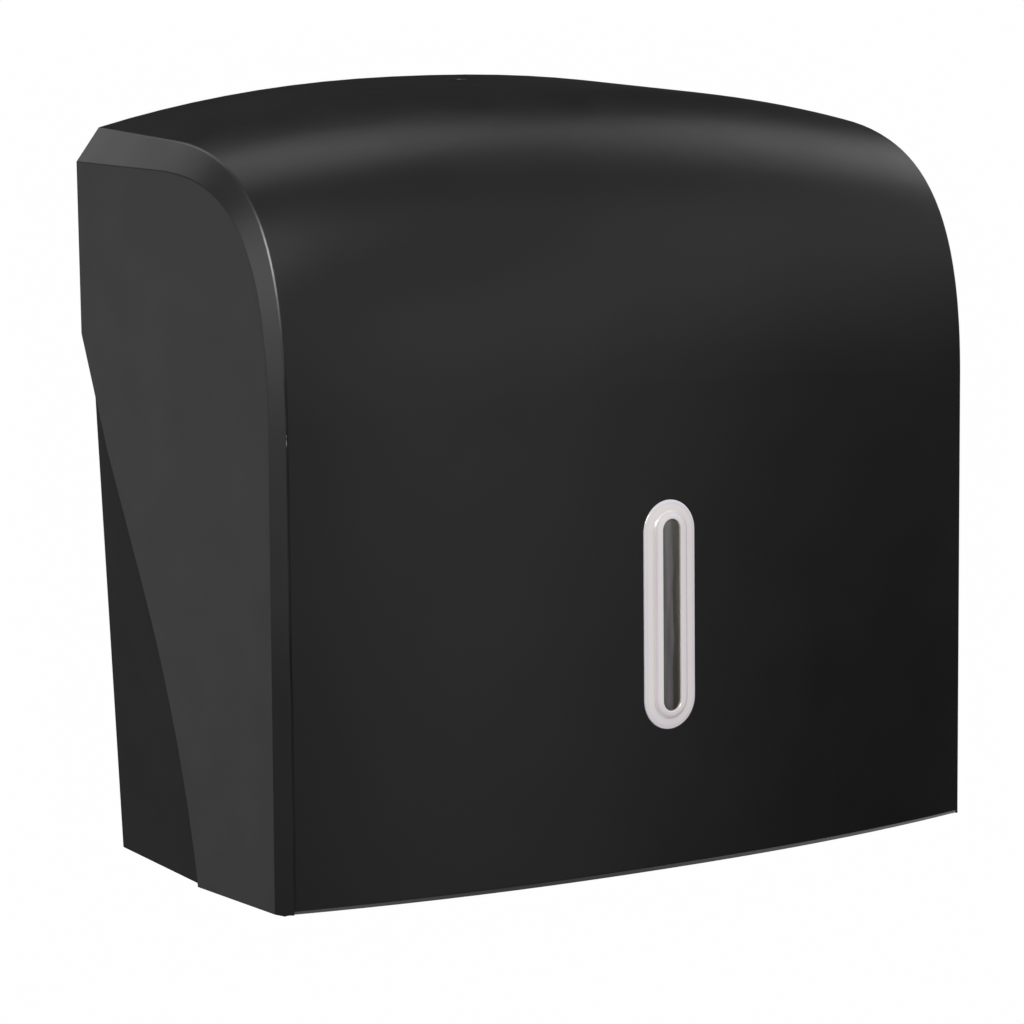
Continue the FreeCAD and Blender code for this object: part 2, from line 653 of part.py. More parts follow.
def housing_hull(inset):
    """Flanks behind the seam, and the narrower front part with room for the hinge."""
    front = number(housing_front) - inset
    half = number(inner_half) - inset
    foot = number(housing_foot) + inset
    rear_part = flank_hull(inset).common(behind_seam(cell.flank_cover - inset, cell.width))
    front_part = flank_hull(inset).common(slab(-half, half, 0, front, foot, number(housing_top)))
    return rear_part.fuse(front_part)


def side_view_cut():
    """Side view of the flanks, extruded across."""
    foot = number(housing_foot)
    top = number(housing_top)
    front = number(housing_front)
    points = [Vector(-cell.width, 0, foot), Vector(-cell.width, -front, foot),
              Vector(-cell.width, -front, cell.side_knee),
              Vector(-cell.width, -cell.side_top_reach, top), Vector(-cell.width, 0, top)]
    return Part.Face(Part.makePolygon(points + points[:1])).extrude(Vector(2 * cell.width, 0, 0))


def back_plate():
    """Plate that fills the cover's rear opening, with an arched top."""
    foot = number(housing_foot)
    limit = cell.width / 2 - cell.cover_wall - cell.cheek_draft - cell.flank_gap
    crown = number(crown_top) - cell.plate_gap
    edge = cell.edge_height - cell.plate_gap
    corner = limit - cell.plate_corner_run
    wall = cell.housing_wall
    arch = Part.Arc(Vector(corner, 0, edge), Vector(0, 0, crown), Vector(-corner, 0, edge)).toShape()
    side_top = edge - cell.plate_corner
    low = number(housing_top) - cell.plate_corner
    rest = Part.makePolygon([Vector(-corner, 0, edge), Vector(-limit, 0, side_top),
                             Vector(-limit, 0, low), Vector(limit, 0, low),
                             Vector(limit, 0, side_top), Vector(corner, 0, edge)])
    upper = Part.Face(Part.Wire([arch] + rest.Edges)).extrude(Vector(0, -wall, 0))
    lower = flank_hull(0).common(slab(-cell.width, cell.width, 0, wall, foot, number(housing_top)))
    return upper.fuse(lower)


def mount_points():
    return [Vector(side * cell.mount_across / 2, 0, cell.mount_height + level * cell.mount_up / 2)
            for side in (-1, 1) for level in (-1, 1)]


def make_back_housing():
    wall = cell.housing_wall
    foot = number(housing_foot)
    top = number(housing_top)
    floor = number(floor_top)
    front = number(housing_front)
    half = number(inner_half)
    shell = housing_hull(0).cut(housing_hull(wall)).common(side_view_cut())
    extras = [back_plate()]
    floor_slab = slab(-cell.width, cell.width, 0, front, foot, floor)
    extras.append(housing_hull(0).common(floor_slab))
    extras.append(slab(-half, half, front - wall, front, foot, foot + cell.ledge_height))
    # ribs and screw bosses on the plate
    out = wall + cell.plate_rib_height
    for i in range(-2, 3):
        near = i * cell.plate_rib_pitch - cell.plate_rib_thickness / 2
        far = near + cell.plate_rib_thickness
        extras.append(slab(near, far, wall, out, cell.plate_rib_foot, cell.plate_rib_head))
    for point in mount_points():
        extras.append(rod(cell.mount_boss_radius, point, point + Vector(0, -out, 0)))
    # lock shelf on two gussets
    extras.append(slab(-cell.shelf_half, cell.shelf_half, 0, cell.shelf_reach, top - wall, top))
    for sign in (-1, 1):
        side = sign * (cell.shelf_half - wall)
        points = [Vector(side, -wall, top - wall), Vector(side, -cell.shelf_reach + wall, top - wall),
                  Vector(side, -wall, top - wall - cell.gusset_height)]
        gusset = Part.Face(Part.makePolygon(points + points[:1])).extrude(Vector(sign * wall, 0, 0))
        extras.append(gusset)
    # hinge bosses inwards, stop pegs outwards
    hinge = Vector(0, -number(hinge_depth), cell.hinge_height)
    cheek = cell.width / 2 - cell.cheek_draft - cell.cover_wall
    for sign in (-1, 1):
        across = Vector(sign, 0, 0)
        start = half - wall - cell.boss_inside
        extras.append(rod(cell.pin_radius + cell.boss_wall + cell.bush_wall, hinge + across * start,
                          hinge + across * (half - wall)))
        extras.append(stop_place(sign, 0, half, cheek - cell.stop_gap))
    shell = shell.fuse(extras)
    # dispensing slot, screw holes, hinge holes, guide and catch holes
    reach = (cell.throat_length - cell.throat_width) / 2
    radius = cell.throat_width / 2
    low = Vector(0, -cell.throat_depth, foot - wall)
    high = Vector(0, -cell.throat_depth, floor + wall)
    rear = cell.throat_depth - radius
    cuts = [slab(-reach, reach, rear, rear + 2 * radius, low.z, high.z)]
    for sign in (-1, 1):
        across = Vector(sign, 0, 0)
        cuts.append(rod(radius, low + across * reach, high + across * reach))
        inward = half - 2 * cell.hinge_room
        cuts.append(rod(cell.pin_radius, hinge + across * inward, hinge + across * 2 * half))
        foot_middle = number(guide_half) + cell.guide_foot / 2
        for depth in guide_pegs():
            spot = Vector(sign * foot_middle, -depth, foot - wall)
            cuts.append(rod(cell.guide_peg_radius + cell.peg_clearance, spot, spot + Vector(0, 0, 3 * wall)))
        spot = Vector(sign * cell.catch_screw_offset, -cell.catch_screw_depth, top - 2 * wall)
        cuts.append(rod(cell.screw_radius, spot, spot + Vector(0, 0, 3 * wall)))
    for point in mount_points():
        spot = point + Vector(0, wall, 0)
        cuts.append(rod(cell.mount_hole_radius, spot, point + Vector(0, -2 * out, 0)))
    add_feature("back_housing", shell.cut(cuts).removeSplitter())


def guide_pegs():
    """Depths of the two pegs under each towel guide."""
    front = cell.guide_rear + cell.guide_length
    return (cell.guide_rear + cell.guide_peg_inset, front - cell.guide_peg_inset)


def make_throat_insert():
    liner = new_body("throat_insert")
    straight = "(sizes.throat_length - sizes.throat_width)"
    neck = "sizes.throat_width / 2"
    flange_top = "%s + sizes.liner_flange_thickness" % floor_top
    plane = "XY_Plane"
    flange = neck + " + sizes.liner_flange"
    outside = neck + " - sizes.peg_clearance"
    opening = neck + " - sizes.liner_wall"
    pad(liner, plane, floor_top, flange_top, draw_stadium, flange, straight, False)
    pad(liner, plane, housing_foot, floor_top, draw_stadium, outside, straight, False)
    pocket(liner, plane, housing_foot, flange_top, draw_stadium, opening, straight, False)
    place(liner, depth="sizes.throat_depth")


def make_stack_guide(side, sign, turned):
    guide = new_body("stack_guide_" + side)
    half = "sizes.guide_length / 2"
    wall = "sizes.guide_thickness"
    head = "sizes.guide_height"
    shoulder = head + " - sizes.guide_corner"
    pad(guide, "YZ_Plane", "0", wall, draw_polygon,
        [("-" + half, "0"), (half, "0"), (half, shoulder), (half + " - sizes.guide_corner", head),
         ("-%s + sizes.guide_corner" % half, head), ("-" + half, shoulder)])
    pad(guide, "XY_Plane", "0", wall, draw_box, wall, "sizes.guide_foot", "-" + half, half)
    for end in ("-", ""):
        spot = "%s(%s - sizes.guide_peg_inset)" % (end, half)
        pad(guide, "XY_Plane", "-sizes.housing_wall", "0", draw_circle, "sizes.guide_peg_radius",
            "sizes.guide_foot / 2", spot)
    middle = "(sizes.guide_rear + %s)" % half
    place(guide, sign + guide_half, middle, floor_top, turned)


def make_catch():
    bracket = new_body("catch_bracket")
    top = "sizes.catch_thickness"
    tab_top = "%s + sizes.catch_overlap - %s" % (cam_foot, housing_top)
    pad(bracket, "XY_Plane", "0", top, draw_box, "-sizes.catch_half", "sizes.catch_half",
        "-%s - sizes.catch_thickness" % catch_depth, "-sizes.catch_rear")
    pad(bracket, "XY_Plane", top, tab_top, draw_box,
        "-sizes.catch_tab_near - sizes.catch_tab_width", "-sizes.catch_tab_near",
        "-%s - sizes.catch_thickness" % catch_depth, "-" + catch_depth)
    bore = "sizes.screw_radius + sizes.peg_clearance"
    for sign in ("-", ""):
        pocket(bracket, "XY_Plane", "0", top, draw_circle, bore,
               sign + "sizes.catch_screw_offset", "-sizes.catch_screw_depth")
    place(bracket, up=housing_top)
    for side, sign in (("left", "-"), ("right", "")):
        screw = new_body("catch_screw_" + side)
        draw_screw(screw, top + " + sizes.housing_wall")
        place(screw, sign + "sizes.catch_screw_offset", "sizes.catch_screw_depth",
              housing_top + " + " + top)


def draw_screw(screw, length):
    """Screw with a cross recess; its head stands on the sketch plane."""
    head = "sizes.screw_head"
    cross_foot = "%s - sizes.cross_depth" % head
    arms = ("-sizes.cross_reach", "sizes.cross_reach", "-sizes.cross_half", "sizes.cross_half")
    pad(screw, "XY_Plane", "0", head, draw_circle, "sizes.screw_head_radius")
    pad(screw, "XY_Plane", "-(%s)" % length, "0", draw_circle, "sizes.screw_radius")
    pocket(screw, "XY_Plane", cross_foot, head, draw_box, *arms)
    pocket(screw, "XY_Plane", cross_foot, head, draw_box, *arms[2:], *arms[:2])


# ---------------------------------------------------------------- hinge

def make_hinge(side, sign, turned):
    pin = new_body("hinge_pin_" + side)
    boss_end = "(%s - sizes.housing_wall - sizes.boss_inside)" % inner_half
    tip = "(%s + sizes.bush_flange + sizes.pin_reach - sizes.bush_gap)" % bush_start
    pad(pin, "YZ_Plane", "0", "sizes.pin_head_thickness", draw_circle, "sizes.pin_head_radius")
    shank_end = "%s - %s + sizes.pin_head_thickness" % (tip, boss_end)
    pad(pin, "YZ_Plane", "sizes.pin_head_thickness", shank_end, draw_circle, "sizes.pin_radius")
    place(pin, "%s(%s - sizes.pin_head_thickness)" % (sign, boss_end), hinge_depth,
          "sizes.hinge_height", turned)
    bush = new_body("hinge_bush_" + side)
    sleeve = "sizes.pin_radius + sizes.bush_wall"
    pad(bush, "YZ_Plane", "0", "sizes.bush_flange", draw_circle, sleeve + " + sizes.boss_wall")
    sleeve_end = "sizes.bush_flange + sizes.pin_reach"
    pad(bush, "YZ_Plane", "sizes.bush_flange", sleeve_end, draw_circle, sleeve)
    pocket(bush, "YZ_Plane", "0", sleeve_end, draw_circle, "sizes.pin_radius + sizes.pin_clearance")
    place(bush, sign + bush_start, hinge_depth, "sizes.hinge_height", turned)


# ---------------------------------------------------------------- towel window

def place_window(piece):
    """Sets a body on the cover's leaning front at the window's height."""
    tilt = -math.degrees(math.atan(cell.front_lean))
    piece.Placement = Placement(Vector(0, 0, 0), Rotation(Vector(1, 0, 0), tilt))
    face = "sizes.edge_depth + sizes.front_bow - sizes.front_lean * sizes.window_height"
    piece.setExpression("Placement.Base.y", "-(%s)" % face)
    piece.setExpression("Placement.Base.z", "sizes.window_height - sizes.mount_height")


def make_window():
    straight = "sizes.window_straight"
    slot_straight = "sizes.slot_straight"
    plane = "XZ_Plane"
    lens_face = "(sizes.bezel_proud + sizes.ring_height - sizes.lens_setback)"
    lens_back = "(%s - sizes.lens_thickness)" % lens_face
    bezel = new_body("window_bezel")
    ring_top = "(sizes.bezel_proud + sizes.ring_height)"
    seat = "-sizes.bezel_recess"
    neck_end = "-sizes.tube_reach"
    lens_bore = "sizes.lens_radius + sizes.peg_clearance"
    pad(bezel, plane, seat, "sizes.bezel_proud", draw_stadium, "sizes.bezel_radius", straight, True)
    pad(bezel, plane, "sizes.bezel_proud", ring_top, draw_stadium, "sizes.ring_radius", straight, True)
    pad(bezel, plane, neck_end, seat, draw_stadium, "sizes.tube_radius", straight, True)
    pocket(bezel, plane, neck_end, ring_top, draw_stadium, "sizes.slot_radius", slot_straight, True)
    pocket(bezel, plane, neck_end, lens_face, draw_stadium, lens_bore, straight, True)
    place_window(bezel)
    lens = new_body("window_lens")
    pad(lens, plane, lens_back, lens_face, draw_stadium, "sizes.lens_radius", straight, True)
    place_window(lens)
    retainer = new_body("window_retainer")
    web = "(-sizes.tube_reach - sizes.retainer_back)"
    clip_seat = "-sizes.window_seat"
    neck_bore = "sizes.tube_radius + sizes.peg_clearance"
    pad(retainer, plane, web, clip_seat, draw_stadium, "sizes.retainer_radius", straight, True)
    pocket(retainer, plane, neck_end, clip_seat, draw_stadium, neck_bore, straight, True)
    pad(retainer, plane, neck_end, lens_back, draw_stadium, "sizes.lens_radius", straight, True)
    pocket(retainer, plane, web, lens_back, draw_stadium, "sizes.retainer_view", slot_straight, True)
    place_window(retainer)


# ---------------------------------------------------------------- cam lock

def make_lock():
    plane = "XY_Plane"
    axis = {"depth": "sizes.lock_depth"}
    length = "sizes.lock_length"
    body = new_body("lock_body")
    flange_top = "-sizes.lock_boss_length"
    flange_foot = "(%s - sizes.lock_flange_thickness)" % flange_top
    ears = "2 * sizes.lock_ear_offset"
    recess = "sizes.barrel_head_recess"
    running = " + sizes.pin_clearance"
    pad(body, plane, "-" + length, "0", draw_circle, "sizes.lock_radius")
    pad(body, plane, flange_foot, flange_top, draw_circle, "sizes.lock_boss_radius")
    pad(body, plane, flange_foot, flange_top, draw_stadium, "sizes.lock_ear_radius", ears, False)
    pocket(body, plane, "-" + length, "0", draw_circle, "sizes.barrel_radius" + running)
    pocket(body, plane, "-" + recess, "0", draw_circle, "sizes.barrel_head_radius" + running)
    for sign in ("-", ""):
        pocket(body, plane, flange_foot, flange_top, draw_circle,
               "sizes.screw_radius + sizes.peg_clearance", sign + "sizes.lock_ear_offset")
    place(body, up=lock_face, **axis)
    for side, sign in (("left", "-"), ("right", "")):
        screw = new_body("lock_screw_" + side)
        draw_screw(screw, "sizes.lock_flange_thickness + sizes.screw_bite - sizes.pin_clearance")
        place(screw, sign + "sizes.lock_ear_offset", "sizes.lock_depth",
              "%s - sizes.lock_flange_thickness" % lock_boss_foot, Vector(0, 1, 0))

    barrel = new_body("lock_barrel")
    foot = "(-%s - sizes.barrel_proud)" % length
    head_top = "-sizes.barrel_head_gap"
    pad(barrel, plane, "-" + recess, head_top, draw_circle, "sizes.barrel_head_radius")
    pad(barrel, plane, foot, "-" + recess, draw_circle, "sizes.barrel_radius")
    slot = ("-sizes.key_slot_width / 2", "sizes.key_slot_width / 2",
            "-sizes.key_slot_length / 2", "sizes.key_slot_length / 2")
    pocket(barrel, plane, head_top + " - sizes.key_slot_depth", head_top, draw_box, *slot)
    thread_top = "(%s + sizes.cam_screw_length - sizes.cam_thickness)" % foot
    screw_bore = "sizes.cam_screw_radius + sizes.peg_clearance"
    pocket(barrel, plane, foot, thread_top, draw_circle, screw_bore)
    place(barrel, up=lock_face, **axis)

    cam = new_body("lock_cam")
    arm = "(sizes.cam_reach - sizes.cam_half_width)"
    pad(cam, plane, "0", "sizes.cam_thickness", draw_stadium, "sizes.cam_half_width", arm, True,
        centre=("0", arm + " / 2"))
    pad(cam, plane, "0", "sizes.cam_thickness", draw_circle, "sizes.cam_hub_radius")
    pocket(cam, plane, "0", "sizes.cam_thickness", draw_circle, screw_bore)
    place(cam, up=cam_foot, **axis)

    screw = new_body("cam_screw")
    pad(screw, plane, "-sizes.cam_screw_head", "0", draw_circle, "sizes.cam_screw_head_radius")
    pad(screw, plane, "0", "sizes.cam_screw_length", draw_circle, "sizes.cam_screw_radius")
    place(screw, up=cam_foot, **axis)


make_back_housing()
make_throat_insert()
for side, sign, turned in (("left", "-", Vector(0, 0, 1)), ("right", "", None)):
    make_stack_guide(side, sign, turned)
    make_hinge(side, sign, turned)
make_catch()
make_front_cover()
make_window()
make_lock()
doc.recompute()

for thing in doc.Objects:
    if "Invalid" in thing.State or "Error" in thing.State:
        raise RuntimeError("%s did not recompute: %s" % (thing.Label, thing.State))
os.makedirs("parts", exist_ok=True)
for piece in pieces:
    shape = piece.Shape
    if shape.isNull() or not shape.isValid() or len(shape.Solids) != 1:
        raise RuntimeError("%s: null, invalid or not one solid (%d)" % (piece.Label, len(shape.Solids)))
    shape.exportStep("parts/%s.step" % piece.Label)
    box = shape.BoundBox
    print("%-20s %9.1f mm3  x %.1f..%.1f  y %.1f..%.1f  z %.1f..%.1f"
          % (piece.Label, shape.Volume, box.XMin, box.XMax, box.YMin, box.YMax, box.ZMin, box.ZMax))
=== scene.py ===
import bmesh
import bpy
import json
import math
from mathutils import Matrix, Vector


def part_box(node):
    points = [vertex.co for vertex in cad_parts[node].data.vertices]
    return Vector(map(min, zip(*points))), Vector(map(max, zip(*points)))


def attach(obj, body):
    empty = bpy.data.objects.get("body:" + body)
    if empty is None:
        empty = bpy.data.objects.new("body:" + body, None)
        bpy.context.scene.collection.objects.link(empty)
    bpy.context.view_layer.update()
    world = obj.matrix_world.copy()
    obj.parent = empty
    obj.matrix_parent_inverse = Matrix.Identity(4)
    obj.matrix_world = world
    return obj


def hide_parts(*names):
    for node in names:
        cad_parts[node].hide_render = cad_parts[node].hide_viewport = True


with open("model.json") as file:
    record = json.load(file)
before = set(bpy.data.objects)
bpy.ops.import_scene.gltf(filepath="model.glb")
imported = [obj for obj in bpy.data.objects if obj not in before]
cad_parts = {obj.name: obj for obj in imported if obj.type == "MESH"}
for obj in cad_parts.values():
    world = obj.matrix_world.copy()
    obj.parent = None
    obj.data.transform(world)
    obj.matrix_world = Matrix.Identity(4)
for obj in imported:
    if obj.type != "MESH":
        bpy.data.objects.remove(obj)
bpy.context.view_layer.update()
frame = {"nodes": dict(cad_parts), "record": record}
nodes = frame["nodes"]
record = frame["record"]
nodeSlots = {part["node"]: part["material_slot"] for part in record["subparts"]}
nodeBodies = {node: body for body, names in record["behaviour"]["bodies"].items() for node in names}
mm = 0.001
print("frame loaded with", len(nodes), "nodes")


# camera

view = {
    "place": (-0.908607, -1.341813, 0.205130),
    "turnRight": 35.23,  # degrees
    "lookDown": 8.02,
    "lens": 161.41,
    "sensor": 36,
}


def makeCamera():
    data = bpy.data.cameras.new("studioCamera")
    data.lens = view["lens"]
    data.sensor_width = view["sensor"]
    data.clip_start = 0.05
    data.clip_end = 200
    camera = bpy.data.objects.new("studioCamera", data)
    camera.location = view["place"]
    camera.rotation_euler = (math.radians(90 - view["lookDown"]), 0, math.radians(-view["turnRight"]))
    bpy.context.scene.collection.objects.link(camera)
    bpy.context.scene.camera = camera
    bpy.context.scene.view_settings.view_transform = "Standard"


makeCamera()
print("camera set")


# node helpers

def newMaterial(name, colour, roughness, **sockets):
    material = bpy.data.materials.new(name)
    material.use_nodes = True
    shader = material.node_tree.nodes["Principled BSDF"]
    shader.inputs["Base Color"].default_value = (*colour, 1)
    shader.inputs["Roughness"].default_value = roughness
    for socket, value in sockets.items():
        shader.inputs[socket.replace("_", " ")].default_value = value
    return material, material.node_tree, shader


def addNode(tree, kind, values=None, **settings):
    node = tree.nodes.new(kind)
    for key, value in settings.items():
        setattr(node, key, value)
    for socket, value in (values or {}).items():
        if hasattr(value, "links"):
            tree.links.new(value, node.inputs[socket])
        else:
            node.inputs[socket].default_value = value
    return node


def objectPoint(tree):
    return addNode(tree, "ShaderNodeTexCoord").outputs["Object"]


def stretched(tree, point, scale):
    return addNode(tree, "ShaderNodeMapping", {"Vector": point, "Scale": scale}).outputs["Vector"]


def noise(tree, point, size, detail=2, rough=0.5):
    return addNode(tree, "ShaderNodeTexNoise", {"Vector": point, "Scale": 1 / size,
                                                "Detail": detail, "Roughness": rough}).outputs["Fac"]


def spread(tree, value, low, high, start=0.3, end=0.7):
    return addNode(tree, "ShaderNodeMapRange", {"Value": value, "From Min": start, "From Max": end,
                                                "To Min": low, "To Max": high}).outputs["Result"]


def blendColour(tree, value, first, second):
    mix = addNode(tree, "ShaderNodeMix", data_type="RGBA")
    tree.links.new(value, mix.inputs["Factor"])
    mix.inputs["A"].default_value = (*first, 1)
    mix.inputs["B"].default_value = (*second, 1)
    return mix.outputs["Result"]


def bandColour(tree, value, bands):
    # bands of (place from 0 to 1, colour), blended from one to the next
    ramp = addNode(tree, "ShaderNodeValToRGB", {0: value})
    stops = ramp.color_ramp.elements
    for stop, (place, colour) in zip((stops[0], stops[1]), (bands[0], bands[-1])):
        stop.position, stop.color = place, (*colour, 1)
    for place, colour in bands[1:-1]:
        stops.new(place).color = (*colour, 1)
    return ramp.outputs["Color"]


def bump(tree, height, depth, normal=None):
    values = {"Height": height, "Distance": depth, "Strength": 1}
    if normal is not None:
        values["Normal"] = normal
    return addNode(tree, "ShaderNodeBump", values).outputs["Normal"]


def softEdges(tree, radius):
    return addNode(tree, "ShaderNodeBevel", {"Radius": radius}, samples=6).outputs["Normal"]


def larger(tree, first, second):
    return addNode(tree, "ShaderNodeMath", {0: first, 1: second}, operation="MAXIMUM").outputs[0]


# moulded plastics: a body colour with slow drift, a fine spark-eroded grain and softened edges

plasticLooks = {
    "coverPlastic": {"colour": (0.0058, 0.0058, 0.0059), "drift": (0.0070, 0.0070, 0.0071),
                     "roughness": (0.31, 0.36), "grain": 0.35, "grainDepth": 0.0018, "edge": 0.5, "specular": 0.5},
    "housingPlastic": {"colour": (0.0095, 0.0095, 0.0097), "drift": (0.0120, 0.0120, 0.0122),
                       "roughness": (0.44, 0.52), "grain": 0.45, "grainDepth": 0.006, "edge": 0.5, "specular": 0.2},
    "linerPlastic": {"colour": (0.030, 0.030, 0.031), "drift": (0.040, 0.040, 0.041), "roughness": (0.28, 0.36),
                     "grain": 0.5, "grainDepth": 0.002, "edge": 0.2, "specular": 0.5},
    "guidePlastic": {"colour": (0.33, 0.34, 0.35), "drift": (0.37, 0.38, 0.39), "roughness": (0.42, 0.5),
                     "grain": 0.5, "grainDepth": 0.006, "edge": 0.15, "specular": 0.5},
    "clipPlastic": {"colour": (0.045, 0.045, 0.047), "drift": (0.06, 0.06, 0.062), "roughness": (0.45, 0.52),
                    "grain": 0.5, "grainDepth": 0.006, "edge": 0.15, "specular": 0.5},
    "bushPlastic": {"colour": (0.72, 0.72, 0.69), "drift": (0.78, 0.78, 0.76), "roughness": (0.25, 0.33),
                    "grain": 0.6, "grainDepth": 0.002, "edge": 0.1, "specular": 0.5},
}


def mouldedPlastic(name):
    look = plasticLooks[name]
    material, tree, shader = newMaterial(name, look["colour"], 0.4, Specular_IOR_Level=look["specular"])
    point = objectPoint(tree)
    colour = blendColour(tree, spread(tree, noise(tree, point, 0.045, 3), 0, 1), look["colour"], look["drift"])
    tree.links.new(colour, shader.inputs["Base Color"])
    rough = spread(tree, noise(tree, point, 0.02, 4, 0.6), *look["roughness"])
    tree.links.new(rough, shader.inputs["Roughness"])
    grain = noise(tree, point, look["grain"] * mm, 3, 0.6)
    normal = bump(tree, grain, look["grainDepth"] * mm, softEdges(tree, look["edge"] * mm))
    tree.links.new(normal, shader.inputs["Normal"])
    return material


# glossy off-white bezel with a faint thin-film pearl, and a painted pearl sheen: lilac bands painted on its edges at
# the bead and rim

bezelLook = {
    "reach": 10,  # millimetres from the middle line that the bands are spread over
    # painted pearl sheen: lilac bands at the bead and rim
    "bands": [(0, (0.775, 0.723, 0.718)), (0.48, (0.775, 0.723, 0.718)), (0.53, (0.75, 0.687, 0.75)),
              (0.57, (0.775, 0.713, 0.718)), (0.62, (0.68, 0.57, 0.67)), (0.68, (0.775, 0.723, 0.718)),
              (0.88, (0.775, 0.723, 0.718)), (0.935, (0.70, 0.62, 0.765)), (0.97, (0.70, 0.63, 0.765)),
              (1, (0.77, 0.71, 0.72))],
    "drift": (0.80, 0.75, 0.745),
    "driftShare": 0.35,
    "roughness": (0.09, 0.14),
}


def fromMiddleLine(tree, point, low, high):
    # distance from the upright middle line of a stadium
    middle = (low + high) / 2
    straight = (high.z - low.z) - (high.x - low.x)
    parts = addNode(tree, "ShaderNodeSeparateXYZ", {0: point})
    rise = addNode(tree, "ShaderNodeMath", {0: parts.outputs["Z"], 1: middle.z}, operation="SUBTRACT").outputs[0]
    height = addNode(tree, "ShaderNodeMath", {0: rise}, operation="ABSOLUTE").outputs[0]
    past = addNode(tree, "ShaderNodeMath", {0: height, 1: straight / 2}, operation="SUBTRACT").outputs[0]
    over = larger(tree, past, 0)
    flat = addNode(tree, "ShaderNodeCombineXYZ", {"X": parts.outputs["X"], "Z": over}).outputs[0]
    return addNode(tree, "ShaderNodeVectorMath", {0: flat}, operation="LENGTH").outputs["Value"]


def bezelPlastic():
    look = bezelLook
    material, tree, shader = newMaterial("bezelPlastic", look["drift"], 0.13, Coat_Weight=0.4, Coat_Roughness=0.05,
                                         Thin_Film_Thickness=430, Thin_Film_IOR=1.62)
    point = objectPoint(tree)
    away = fromMiddleLine(tree, point, *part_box("window_bezel"))
    mix = addNode(tree, "ShaderNodeMix", data_type="RGBA")
    tree.links.new(spread(tree, noise(tree, point, 0.012, 3), 0, look["driftShare"]), mix.inputs["Factor"])
    # painted pearl sheen: colour bands by distance from the middle line
    tree.links.new(bandColour(tree, spread(tree, away, 0, 1, 0, look["reach"] * mm), look["bands"]), mix.inputs["A"])
    mix.inputs["B"].default_value = (*look["drift"], 1)
    tree.links.new(mix.outputs["Result"], shader.inputs["Base Color"])
    tree.links.new(spread(tree, noise(tree, point, 0.004, 3), *look["roughness"]), shader.inputs["Roughness"])
    tree.links.new(bump(tree, noise(tree, point, 0.0025, 2), 0.002 * mm), shader.inputs["Normal"])
    return material


# smoked clear plastic for the towel-level lens, with its reflections painted into the colour: bands lighter on one
# side, faint upright painted streaks, and painted shade towards the foot

lensLook = {
    "halfWidth": 3.6,
    "waver": 0.45,  # how far the bands wander sideways
    # painted reflections: colour bands across the lens, lighter left of the middle, darker right of it, warmer at the
    # right edge
    "bands": [(0, (0.18, 0.172, 0.178)), (0.07, (0.25, 0.24, 0.24)), (0.3, (0.285, 0.272, 0.272)),
              (0.46, (0.32, 0.305, 0.305)), (0.55, (0.25, 0.24, 0.232)), (0.61, (0.14, 0.13, 0.124)),
              (0.78, (0.15, 0.138, 0.127)), (0.9, (0.22, 0.195, 0.165)), (1, (0.26, 0.23, 0.185))],
    # painted streaks: the share the colour drops to in the upright streaks that stand in for reflections
    "paintedStreakShade": 0.55,
    "paintedFootShade": 0.6,  # painted shade, darker towards the foot
    "roughness": (0.07, 0.16),
}


def smokedLens():
    look = lensLook
    half = look["halfWidth"] * mm
    waver = look["waver"] * mm
    material, tree, shader = newMaterial("smokedLens", look["bands"][2][1], 0.1, IOR=1.49, Transmission_Weight=0.4)
    point = objectPoint(tree)
    streaks = stretched(tree, point, (1, 1, 0.04))
    across = addNode(tree, "ShaderNodeSeparateXYZ", {0: point}).outputs["X"]
    shift = spread(tree, noise(tree, stretched(tree, point, (0, 0, 1)), 0.02, 1), -waver, waver)
    moved = addNode(tree, "ShaderNodeMath", {0: across, 1: shift}, operation="ADD").outputs[0]
    # painted streaks: upright streaks darkened into the colour in place of the lens's reflections
    shade = addNode(tree, "ShaderNodeMix", data_type="RGBA", blend_type="MULTIPLY")
    tree.links.new(spread(tree, noise(tree, streaks, 0.0014, 3), 0, 1), shade.inputs["Factor"])
    # painted reflection bands across the lens
    tree.links.new(bandColour(tree, spread(tree, moved, 0, 1, -half, half), look["bands"]), shade.inputs["A"])
    shade.inputs["B"].default_value = (look["paintedStreakShade"], look["paintedStreakShade"], look["paintedStreakShade"], 1)
    low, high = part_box("window_lens")
    height = addNode(tree, "ShaderNodeSeparateXYZ", {0: point}).outputs["Z"]
    # painted shade: the colour darkens towards the lens's foot
    paintedFootShadeMix = addNode(tree, "ShaderNodeMix", data_type="RGBA", blend_type="MULTIPLY")
    tree.links.new(spread(tree, height, 1, 0, low.z, high.z), paintedFootShadeMix.inputs["Factor"])
    tree.links.new(shade.outputs["Result"], paintedFootShadeMix.inputs["A"])
    paintedFootShadeMix.inputs["B"].default_value = (look["paintedFootShade"], look["paintedFootShade"], look["paintedFootShade"], 1)
    tree.links.new(paintedFootShadeMix.outputs["Result"], shader.inputs["Base Color"])
    tree.links.new(spread(tree, noise(tree, streaks, 0.0012, 3), *look["roughness"]), shader.inputs["Roughness"])
    tree.links.new(bump(tree, noise(tree, streaks, 0.0016, 2), 0.02 * mm), shader.inputs["Normal"])
    return material


# metals

def zincSteel():
    material, tree, shader = newMaterial("zincSteel", (0.55, 0.56, 0.58), 0.32, Metallic=1)
    point = objectPoint(tree)
    spangle = addNode(tree, "ShaderNodeTexVoronoi", {"Vector": point, "Scale": 1 / 0.0016}).outputs["Distance"]
    colour = blendColour(tree, spread(tree, spangle, 0, 1, 0.1, 0.6), (0.60, 0.61, 0.63), (0.46, 0.47, 0.49))
    tree.links.new(colour, shader.inputs["Base Color"])
    tree.links.new(spread(tree, noise(tree, point, 0.0012, 4, 0.65), 0.24, 0.42), shader.inputs["Roughness"])
    scratches = noise(tree, stretched(tree, point, (1, 12, 12)), 0.002, 3)
    tree.links.new(bump(tree, scratches, 0.004 * mm), shader.inputs["Normal"])
    return material


